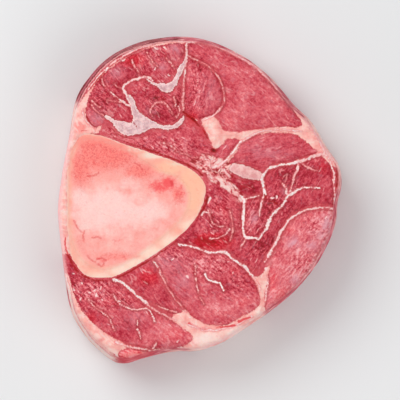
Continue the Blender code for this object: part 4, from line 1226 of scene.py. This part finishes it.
class Look:
    """A material made node by node, so that it reads as a few sums."""

    def __init__(self, name):
        self.material = bpy.data.materials.new(name)
        self.material.use_nodes = True
        self.tree = self.material.node_tree
        self.shader = self.tree.nodes["Principled BSDF"]
        self.place = self.node("ShaderNodeTexCoord").outputs["Object"]

    def node(self, kind, **settings):
        made = self.tree.nodes.new(kind)
        for name, value in settings.items():
            setattr(made, name, value)
        return made

    def put(self, value, socket):
        """Sets the socket to a number or a colour as it looks, or links it to another node's output."""
        if isinstance(value, bpy.types.NodeSocket):
            self.tree.links.new(value, socket)
        elif isinstance(value, tuple):
            socket.default_value = shown(*value)
        else:
            socket.default_value = value

    def read(self, name):
        return self.node("ShaderNodeAttribute", attribute_name=name).outputs["Fac"]

    def stretched(self, at, x, y, z):
        """A place with each axis scaled."""
        made = self.node("ShaderNodeVectorMath", operation="MULTIPLY")
        self.put(at, made.inputs[0])
        made.inputs[1].default_value = (x, y, z)
        return made.outputs[0]

    def turned(self, at, angle):
        """A place turned round the upright axis."""
        made = self.node("ShaderNodeVectorRotate", rotation_type="Z_AXIS")
        self.put(at, made.inputs["Vector"])
        self.put(angle, made.inputs["Angle"])
        return made.outputs["Vector"]

    def noise(self, at, size, detail=2.0, roughness=0.5):
        """Noise from 0 to 1 with bumps about size across."""
        made = self.node("ShaderNodeTexNoise")
        self.put(at, made.inputs["Vector"])
        made.inputs["Scale"].default_value = 1 / size
        made.inputs["Detail"].default_value = detail
        made.inputs["Roughness"].default_value = roughness
        return made.outputs["Fac"]

    def ripple(self, *settings):
        """Noise from -0.5 to 0.5."""
        return self.sum("SUBTRACT", self.noise(*settings), 0.5)

    def cells(self, at, size, feature="F1"):
        """Cells about size across: the distance in each, in cell widths, or a number from 0 to 1 for each."""
        made = self.node("ShaderNodeTexVoronoi", feature=feature)
        self.put(at, made.inputs["Vector"])
        made.inputs["Scale"].default_value = 1 / size
        return made.outputs

    def warped(self, at, size, amount):
        """The place pushed about by noise with bumps about size across."""
        drift = self.node("ShaderNodeTexNoise")
        self.put(at, drift.inputs["Vector"])
        drift.inputs["Scale"].default_value = 1 / size
        push = self.node("ShaderNodeVectorMath", operation="MULTIPLY_ADD")
        self.put(drift.outputs["Color"], push.inputs[0])
        push.inputs[1].default_value = (amount, amount, amount)
        self.put(at, push.inputs[2])
        return push.outputs[0]

    def ramp(self, value, stops):
        """A colour that runs through the stops, each a place from 0 to 1 and a colour as it looks."""
        made = self.node("ShaderNodeValToRGB")
        self.put(value, made.inputs["Fac"])
        elements = made.color_ramp.elements
        while len(elements) < len(stops):
            elements.new(1.0)
        for element, (place, colour) in zip(elements, stops):
            element.position = place
            element.color = shown(*colour)
        return made.outputs["Color"]

    def sum(self, operation, a, b=0.0):
        made = self.node("ShaderNodeMath", operation=operation)
        self.put(a, made.inputs[0])
        self.put(b, made.inputs[1])
        return made.outputs[0]

    def add(self, *values):
        total = values[0]
        for value in values[1:]:
            total = self.sum("ADD", total, value)
        return total

    def times(self, *values):
        product = values[0]
        for value in values[1:]:
            product = self.sum("MULTIPLY", product, value)
        return product

    def step(self, value, low, high, at_low=0.0, at_high=1.0):
        """A smooth rise from at_low to at_high as the value goes from low to high."""
        made = self.node("ShaderNodeMapRange", interpolation_type="SMOOTHSTEP")
        self.put(value, made.inputs["Value"])
        made.inputs["From Min"].default_value = low
        made.inputs["From Max"].default_value = high
        made.inputs["To Min"].default_value = at_low
        made.inputs["To Max"].default_value = at_high
        return made.outputs["Result"]

    def mix(self, share, a, b):
        made = self.node("ShaderNodeMix", data_type="RGBA")
        self.put(share, made.inputs[0])
        self.put(a, made.inputs[6])
        self.put(b, made.inputs[7])
        return made.outputs[2]

    def over(self, colour, value, low, high, paint, at_low=0.0, at_high=1.0):
        """The colour with paint over it, as much as a step of the value says."""
        return self.mix(self.step(value, low, high, at_low, at_high), colour, paint)

    def bump(self, height, distance):
        made = self.node("ShaderNodeBump")
        self.put(height, made.inputs["Height"])
        made.inputs["Distance"].default_value = distance
        self.put(made.outputs["Normal"], self.shader.inputs["Normal"])

    def finish(self, colour, roughness, flesh, flesh_depth, coat):
        """Colour and roughness may vary over the surface. Light passes flesh_depth into the flesh."""
        self.put(colour, self.shader.inputs["Base Color"])
        self.put(roughness, self.shader.inputs["Roughness"])
        self.shader.inputs["Subsurface Weight"].default_value = flesh
        self.shader.inputs["Subsurface Radius"].default_value = FLESH_RADIUS
        self.shader.inputs["Subsurface Scale"].default_value = flesh_depth
        self.shader.inputs["Specular IOR Level"].default_value = WET_SPECULAR
        self.shader.inputs["Coat Weight"].default_value = coat
        self.shader.inputs["Coat Roughness"].default_value = COAT_ROUGHNESS
        return self.material


class Flesh:
    """The places and noises that the parts of the meat's look share."""

    def __init__(self, look):
        self.place = look.stretched(look.place, 1, 1, 0.12)
        self.wobble = look.ripple(self.place, 2.4 * MM)
        self.fray = look.ripple(self.place, 0.6 * MM)
        self.edge = look.add(look.times(self.wobble, 1.2), look.times(self.fray, 1.2))
        self.patches = look.ripple(self.place, 7 * MM, 3, 0.55)
        self.mottle = look.ripple(self.place, 0.95 * MM, 3, 0.7)
        self.fibres = look.ripple(self.place, 0.45 * MM, 2, 0.7)
        self.bundles = look.warped(self.place, 1.2 * MM, 0.9 * MM)
        # Minus the grain's direction turns the grain onto the x axis
        turned = look.turned(look.warped(self.place, 5 * MM, 2 * MM), look.times(look.read("grain"), -1))
        self.along = look.stretched(turned, 0.22, 1, 1)
        self.streaks = look.ripple(self.along, 0.75 * MM, 3, 0.65)
        self.muscle = look.add(look.read("muscle"), self.edge)
        skin_place = look.stretched(look.place, 1, 1, 1.5)
        self.skin = look.noise(look.warped(skin_place, 9 * MM, 5 * MM), 6 * MM, 4, 0.62)
        self.blots = look.ripple(skin_place, 4 * MM, 3)
        self.ragged = look.ripple(skin_place, 10 * MM, 5, 0.6)
        self.skin_fray = look.ripple(skin_place, 0.9 * MM, 2)


def lean_colour(look, flesh):
    """Lean in patches, streaks along the grain, bundles of fibres and single fibres, with its marks."""
    contrast = look.add(0.47, look.times(look.read("coarse"), 0.98))
    bundle = look.sum("SUBTRACT", look.cells(flesh.bundles, 1.1 * MM)["Color"], 0.5)
    tone = look.add(
        look.read("pink"), look.times(flesh.patches, 0.9), look.times(flesh.streaks, contrast, 1.7),
        look.times(bundle, 0.2), look.times(flesh.mottle, contrast, 1.65),
        look.times(flesh.fibres, contrast, 0.9), look.times(look.read("deep_red"), -0.6),
    )
    level = look.step(tone, -0.7, 1.7)
    vivid = look.add(look.read("vivid"), look.times(flesh.patches, 0.8))
    lean = look.over(look.ramp(level, PLAIN_LEAN), vivid, 0.15, 0.8, look.ramp(level, VIVID_LEAN))
    return marked_lean(look, flesh, contrast, lean)


def marked_lean(look, flesh, contrast, lean):
    """Seams between bundles, webs, pale specks of painted highlight, pits, grey patches and a painted pale
    sheen.
    """
    seams = look.cells(flesh.bundles, 1.9 * MM, "DISTANCE_TO_EDGE")["Distance"]
    seam = look.times(look.step(seams, 0.0, 0.12, 1.0, 0.0), look.step(flesh.mottle, -0.1, 0.2))
    lean = look.mix(look.times(seam, contrast, 0.22), lean, BUNDLE_SEAM)
    webs = look.cells(look.warped(flesh.along, 3 * MM, 4 * MM), 5 * MM, "DISTANCE_TO_EDGE")["Distance"]
    broken = look.step(look.noise(flesh.place, 3 * MM), 0.5, 0.6)
    web = look.times(look.step(webs, 0.012, 0.04, 1.0, 0.0), broken)
    lean = look.mix(look.times(web, 0.55), lean, WEB)
    # Painted highlights: pale specks where the wet lean would catch the lamps
    glint_cells = look.cells(flesh.along, 1.1 * MM)
    glint = look.times(
        look.step(glint_cells["Distance"], 0.12, 0.26, 1.0, 0.0), look.step(glint_cells["Color"], 0.45, 0.75),
        look.step(look.add(flesh.patches, look.times(look.read("coarse"), 0.12)), 0.0, 0.12),
    )
    lean = look.mix(look.times(glint, 0.85), lean, PAINTED_GLINT)
    pits = look.cells(flesh.bundles, 1.3 * MM)
    pit = look.times(look.step(pits["Distance"], 0.1, 0.28, 1.0, 0.0), look.step(pits["Color"], 0.5, 0.7))
    lean = look.mix(look.times(pit, contrast, 0.7), lean, PIT)
    grey = look.step(look.noise(flesh.place, 1.6 * MM, 3, 0.7), 0.52, 0.66)
    calm = look.step(look.read("vivid"), 0.3, 0.9, 1.0, 0.0)
    lean = look.mix(look.times(grey, calm, 0.2), lean, GREY_LEAN)
    # Painted sheen: pale streaky patches where the wet lean would shine
    streaky = look.step(look.noise(flesh.along, 1.3 * MM, 3, 0.65), 0.3, 0.58)
    painted_sheen = look.times(look.read("painted_sheen"), streaky)
    return look.mix(look.times(painted_sheen, 0.9), lean, SHEEN_TINT)


def muscle_edges(look, flesh, strand, colour):
    """The lean darkens at its edge and takes a painted shade in the groove beside a strand, and a thin sheath
    lies between the muscles.
    """
    colour = look.over(colour, flesh.muscle, 0.1, 0.9, LEAN_EDGE, 0.28, 0.0)
    # Painted shade: a dark red line in the groove beside each strand
    colour = look.over(colour, strand, -1.0, -0.35, STRAND_SHADE, 0.0, 0.5)
    sheath = look.mix(0.35, colour, SHEATH)
    return look.over(sheath, flesh.muscle, -0.3, 0.2, colour)


def fat_colour(look, flesh, in_fat, colour):
    """Fat over the colour where in_fat says so, redder, paler or threaded in places, with a pale rim that is
    partly membrane and partly painted light where the rounded rim turns from the lamps.
    """
    fat = look.ramp(look.noise(flesh.place, 3.2 * MM, 4, 0.62), FAT_TONES)
    uneven = look.times(flesh.wobble, 0.8)
    fat = look.over(fat, look.add(look.read("vivid"), uneven), 0.2, 0.9, REDDENED_FAT, 0.0, 0.6)
    fat = look.over(fat, look.add(look.read("pale_fat"), uneven), 0.15, 0.9, PALEST_FAT, 0.0, 0.85)
    threads = look.step(look.noise(flesh.along, 1.2 * MM, 2), 0.56, 0.7)
    fat = look.mix(look.times(threads, 0.45), fat, FAT_THREAD)
    colour = look.mix(in_fat, colour, fat)
    # Pale rim: partly membrane, partly painted light where the rounded rim turns from the lamps
    rim_light = look.step(look.add(look.read("rim"), flesh.edge), 0.2, 2.2, 0.6, 0.0)
    return look.mix(look.times(rim_light, in_fat), colour, FAT_RIM_LIGHT)


def knot_colour(look, flesh, colour):
    """Pale lumps of fat and sheath with red between them."""
    lumpy = look.warped(look.stretched(flesh.along, 2.2, 1, 1), 1.8 * MM, 1.4 * MM)
    clots = look.add(look.noise(lumpy, 1.6 * MM, 3, 0.62), look.times(look.read("pale_fat"), 0.12))
    depth = look.add(look.read("knot"), flesh.edge)
    return look.over(colour, depth, -0.4, 0.6, look.ramp(clots, KNOT_TONES), 0.0, 0.9)


def tendon_colour(look, flesh, colour):
    """Mottled grey-lilac tendon, warmer in places, with a pale edge and a line of painted shade beside it."""
    depth = look.add(look.read("tendon"), look.times(flesh.edge, 0.9))
    mottled = look.step(look.noise(flesh.place, 1.9 * MM, 4, 0.75), 0.36, 0.62)
    warm = look.step(look.read("warm_tendon"), 0.2, 0.8)
    tendon = look.mix(mottled, *TENDON_TONES)
    tendon = look.mix(warm, tendon, look.mix(mottled, *WARM_TENDON_TONES))
    less_if_warm = look.sum("SUBTRACT", 1.0, look.times(warm, 0.6))
    pale_edge = look.times(look.step(depth, 0.2, 0.7, 0.75, 0.0), less_if_warm)
    tendon = look.mix(pale_edge, tendon, TENDON_EDGE)
    # Painted shade: a dark line just outside the raised tendon
    colour = look.over(colour, depth, -0.7, 0.0, TENDON_SHADE, 0.0, 0.45)
    return look.over(colour, depth, -0.08, 0.16, tendon)


def strand_colour(look, flesh, strand, in_strand, colour):
    """White to peach strands with a pink edge, and white flecks."""
    colour = look.over(colour, strand, -0.5, -0.05, STRAND_EDGE, 0.0, 0.6)
    warmth = look.add(look.read("warmth"), look.times(look.ripple(flesh.place, 1.6 * MM, 2), 1.4))
    colour = look.mix(in_strand, colour, look.mix(warmth, WHITE_STRAND, PEACH_STRAND))
    fleck = look.add(look.read("fleck"), look.times(flesh.fray, 0.7))
    return look.over(colour, fleck, -0.2, 0.12, WHITE_FLECK, 0.0, 0.95)


def crease_colour(look, flesh, in_fat, colour):
    """Red in the creases, partly blood and partly painted shade, with a core of painted shade in the widest
    of them, and light where they run through fat.
    """
    crease = look.add(look.read("crease"), look.times(flesh.edge, 0.4))
    in_crease = look.times(look.step(crease, -0.16, 0.12), look.step(flesh.mottle, -0.3, -0.05, 0.6, 1.0))
    # The creases' red: partly blood, partly painted shade of the gap between the parts
    blood = look.over(SHADED_CREASE_RED, look.read("vivid"), 0.4, 0.9, BRIGHT_CREASE_RED)
    blood = look.mix(in_fat, blood, FAT_CREASE)
    colour = look.mix(look.times(in_crease, 0.92), colour, blood)
    # Painted shade in the deep middle of the widest creases
    in_core = look.times(look.step(crease, 0.24, 0.46, 0.0, 0.85), look.sum("SUBTRACT", 1.0, in_fat))
    return look.mix(in_core, colour, CREASE_CORE_SHADE)


def side_colour(look, flesh, colour):
    """The thin skin on the side of the slice, red over lean and pale over fat."""
    over_lean = look.ramp(flesh.skin, SKIN_ON_LEAN)
    over_lean = look.over(over_lean, look.read("vivid"), 0.2, 0.8, VIVID_SKIN, 0.0, 0.55)
    window = look.add(look.read("upper_side"), look.times(flesh.ragged, 1.8))
    layered = look.times(look.step(window, 0.3, 0.75), 0.9)
    over_lean = look.mix(layered, over_lean, look.ramp(flesh.skin, SKIN_ON_DARK))
    lean = look.step(look.add(look.read("muscle"), look.times(flesh.blots, 6)), -3.4, -0.8)
    lean = look.sum("MAXIMUM", lean, layered)
    skin = look.mix(lean, look.ramp(flesh.skin, SKIN_ON_FAT), over_lean)
    return look.mix(look.times(look.read("side"), 0.94), colour, skin)


def layers_in(look, flesh, window, inmost, share, tones):
    """Layers of the side inside a window with ragged ends, at their distances in from the widest outline."""
    opening = look.read(window)
    sway = look.add(look.times(flesh.blots, 0.9), look.times(flesh.skin_fray, 0.9))
    taper = look.add(0.4, look.times(opening, 0.6))
    layer = look.sum("DIVIDE", look.add(look.read("rim"), sway), taper)
    inside = look.times(
        look.step(look.add(opening, look.times(flesh.ragged, 1.8)), 0.3, 0.75, 0.0, share),
        look.step(layer, inmost - 0.5, inmost, 1.0, 0.0),
    )
    return inside, look.ramp(look.times(layer, 0.25), tones)


def layer_colours(look, flesh, colour):
    """The layers of the side that show from above."""
    inside, upper = layers_in(look, flesh, "upper_layers", 2.3, 0.94, UPPER_TONES)
    upper = look.over(upper, flesh.skin, 0.5, 0.66, UPPER_PATCH, 0.0, 0.3)
    colour = look.mix(inside, colour, upper)
    inside, lower = layers_in(look, flesh, "lower_layers", 2.5, 0.85, LOWER_TONES)
    return look.mix(inside, colour, lower)


def meat_material():
    look = Look("wet_raw_meat")
    flesh = Flesh(look)
    strand = look.add(look.read("strand"), look.times(flesh.wobble, 0.85), look.times(flesh.fray, 0.9))
    in_strand = look.times(look.step(strand, -0.14, 0.18), look.step(flesh.fray, -0.3, 0.05, 0.6, 0.96))
    in_fat = look.times(
        look.step(look.add(look.read("fat"), flesh.edge), -0.25, 0.25),
        look.step(flesh.muscle, -0.2, 0.25, 1.0, 0.0),
    )
    colour = lean_colour(look, flesh)
    colour = muscle_edges(look, flesh, strand, colour)
    colour = fat_colour(look, flesh, in_fat, colour)
    colour = knot_colour(look, flesh, colour)
    colour = tendon_colour(look, flesh, colour)
    colour = strand_colour(look, flesh, strand, in_strand, colour)
    colour = crease_colour(look, flesh, in_fat, colour)
    # Near the outline everything turns paler: partly a membrane, partly painted light against the rounded
    # rim's shade
    rim = look.add(look.read("rim"), look.times(flesh.edge, 0.6))
    colour = look.over(colour, rim, 0.3, 2.0, LEAN_RIM_LIGHT, 0.72, 0.0)
    colour = side_colour(look, flesh, colour)
    colour = layer_colours(look, flesh, colour)

    pale = look.sum("MAXIMUM", in_fat, in_strand)
    dry = look.sum("MAXIMUM", look.read("side"), look.step(look.read("rim"), 0.0, 2.0, 1.0, 0.0))
    roughness = look.add(
        0.26, look.times(look.noise(flesh.place, 1.2 * MM), 0.2), look.times(pale, 0.1), look.times(dry, 0.6)
    )
    grain = look.add(
        look.times(flesh.fibres, 0.5), look.times(flesh.mottle, 0.9), look.times(flesh.streaks, 0.5)
    )
    look.bump(grain, 0.32 * MM)
    return look.finish(colour, roughness, 0.2, 1.2 * MM, 0.0)


def wall_colour(look, blotch, soft):
    """The sawn wall: orange at the right corner, cream and ivory along its edges, a painted highlight along
    its outer edge, and a crimson rim that is partly blood and partly painted shade of the gap to the meat.
    """
    wall = look.over(WALL_TONES[0], soft, -0.3, 0.3, WALL_TONES[1])
    for name, low, high, colour in WALL_ZONES:
        wall = look.over(wall, look.add(look.read(name), soft), low, high, colour)
    rim = look.read("rim")
    # Painted highlight: a pale band just inside the bone's outer edge
    wall = look.over(wall, look.add(rim, look.times(blotch, 0.8)), 0.3, 1.3, WALL_EDGE_HIGHLIGHT, 0.55, 0.0)
    # Crimson rim: partly blood, partly painted shade of the gap to the meat
    return look.over(wall, rim, -0.05, 0.22, RIM_BLOOD_AND_SHADE, 0.9, 0.0)


def marrow_colour(look, drift, soft, grain):
    """Marrow from salmon to pale, with red threads and lace that are strongest where it is salmon."""
    marrow = look.over(MARROW_TONES[0], soft, -0.25, 0.3, MARROW_TONES[1])
    salmon = look.step(look.add(look.read("salmon"), soft), 0.1, 0.8)
    marrow = look.mix(salmon, marrow, SALMON_MARROW)
    marrow = look.over(marrow, look.add(look.read("pale"), soft), 0.15, 0.85, PALE_MARROW)
    threads = look.sum("ABSOLUTE", look.ripple(look.warped(look.place, 2 * MM, 1.5 * MM), 1.3 * MM, 3, 0.6))
    broken = look.step(look.noise(look.place, 3 * MM), 0.45, 0.6)
    thread = look.times(look.step(threads, 0.0, 0.035, 1.0, 0.0), broken)
    marrow = look.mix(look.times(thread, look.add(0.1, look.times(salmon, 0.4))), marrow, MARROW_THREAD)
    lace = look.step(look.add(look.ripple(look.place, 0.9 * MM, 3, 0.75), look.times(grain, 0.6)), 0.0, 0.12)
    marrow = look.mix(look.times(lace, look.add(0.07, look.times(salmon, 0.43))), marrow, MARROW_LACE)
    return look.over(marrow, drift, 0.08, 0.22, MARROW_HAZE, 0.0, 0.3)


def bone_material(name, coat):
    """The cut of the bone and its marrow, whose colours run into each other."""
    look = Look(name)
    drift = look.ripple(look.place, 4.5 * MM, 4, 0.6)
    blotch = look.ripple(look.place, 1.6 * MM, 3, 0.6)
    grain = look.ripple(look.place, 0.6 * MM, 3, 0.7)
    soft = look.add(look.times(drift, 0.9), look.times(blotch, 0.35))

    wall = wall_colour(look, blotch, soft)
    salmon = look.step(look.add(look.read("salmon"), soft), 0.2, 0.7)
    thin = look.times(salmon, look.step(look.read("rim"), 0.4, 1.1))
    wall = look.mix(look.times(thin, 0.92), wall, THIN_WALL)
    core = look.add(look.read("core"), look.times(soft, 2.2))
    colour = look.over(wall, core, -0.9, 1.2, marrow_colour(look, drift, soft, grain))
    bled = look.add(look.read("blood"), look.times(blotch, 1.3), look.times(grain, 0.7))
    colour = look.over(colour, bled, 0.05, 0.95, BLED, 0.0, 0.92)
    line = look.add(look.read("line"), look.times(grain, 0.9), look.times(blotch, 0.5))
    colour = look.over(colour, line, -0.5, 0.25, MARROW_LINE, 0.0, 0.6)
    colour = look.over(colour, grain, -0.25, -0.08, BONE_GLINT, 0.25, 0.0)

    look.bump(look.add(look.times(grain, 0.8), look.times(blotch, 0.5)), 0.12 * MM)
    edge = look.step(look.read("rim"), 0.2, 1.0, 0.5, 0.0)
    roughness = look.add(0.34, look.times(look.noise(look.place, 2 * MM), 0.16), edge)
    return look.finish(colour, roughness, 0.25, 2.0 * MM, coat)


def floor_material():
    look = Look("pale_floor")
    colour = look.over(FLOOR_TONES[0], look.noise(look.place, 0.2, 2), 0.3, 0.7, FLOOR_TONES[1])
    look.put(colour, look.shader.inputs["Base Color"])
    look.shader.inputs["Roughness"].default_value = 0.7
    return look.material


# The scene round the object

def add_light(name, place, watts):
    """A round lamp that shines at the origin."""
    lamp = bpy.data.lights.new(name, "AREA")
    lamp.shape = "DISK"
    lamp.size = LAMP_SIZE
    lamp.energy = watts
    holder = bpy.data.objects.new(name, lamp)
    holder.location = place
    holder.rotation_euler = (-holder.location).to_track_quat("-Z", "Y").to_euler()
    bpy.context.scene.collection.objects.link(holder)


def add_floor():
    bpy.ops.mesh.primitive_plane_add(size=FLOOR_SIZE)
    floor = bpy.context.object
    floor.name = "floor"
    floor.data.materials.append(floor_material())


def add_camera():
    """Straight down, as the photograph, with the slice in the middle of the frame."""
    lens = bpy.data.cameras.new("camera")
    lens.lens = LENS
    lens.sensor_width = SENSOR
    lens.clip_start = NEAREST
    holder = bpy.data.objects.new("camera", lens)
    width = SLICE_LENGTH / SHARE_OF_FRAME
    holder.location = (0, 0, SLICE_THICKNESS + width * LENS / SENSOR)
    bpy.context.scene.collection.objects.link(holder)
    bpy.context.scene.camera = holder


def add_surroundings():
    world = bpy.data.worlds.new("studio")
    world.use_nodes = True
    background = world.node_tree.nodes["Background"]
    background.inputs["Color"].default_value = (1, 1, 1, 1)
    background.inputs["Strength"].default_value = SKY
    bpy.context.scene.world = world
    bpy.context.scene.view_settings.view_transform = "Standard"
    for name, place, watts in LAMPS:
        add_light(name, place, watts)


def main():
    add_camera()
    add_surroundings()
    add_floor()
    bone_look = bone_material("sawn_shin_bone", 0.0)
    marrow_look = bone_material("moist_marrow", 0.3)
    for piece, look, node, slot in (
        (make_meat(), meat_material(), "meat", "lean_meat"),
        (make_bone(), bone_look, "bone", "sawn_bone"),
        (make_marrow(), marrow_look, "marrow", "marrow"),
    ):
        piece.data.materials.clear()
        piece.data.materials.append(look)
        piece.data.shade_smooth()
        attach(piece, "root")
        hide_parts(node)


main()

bpy.context.view_layer.update()
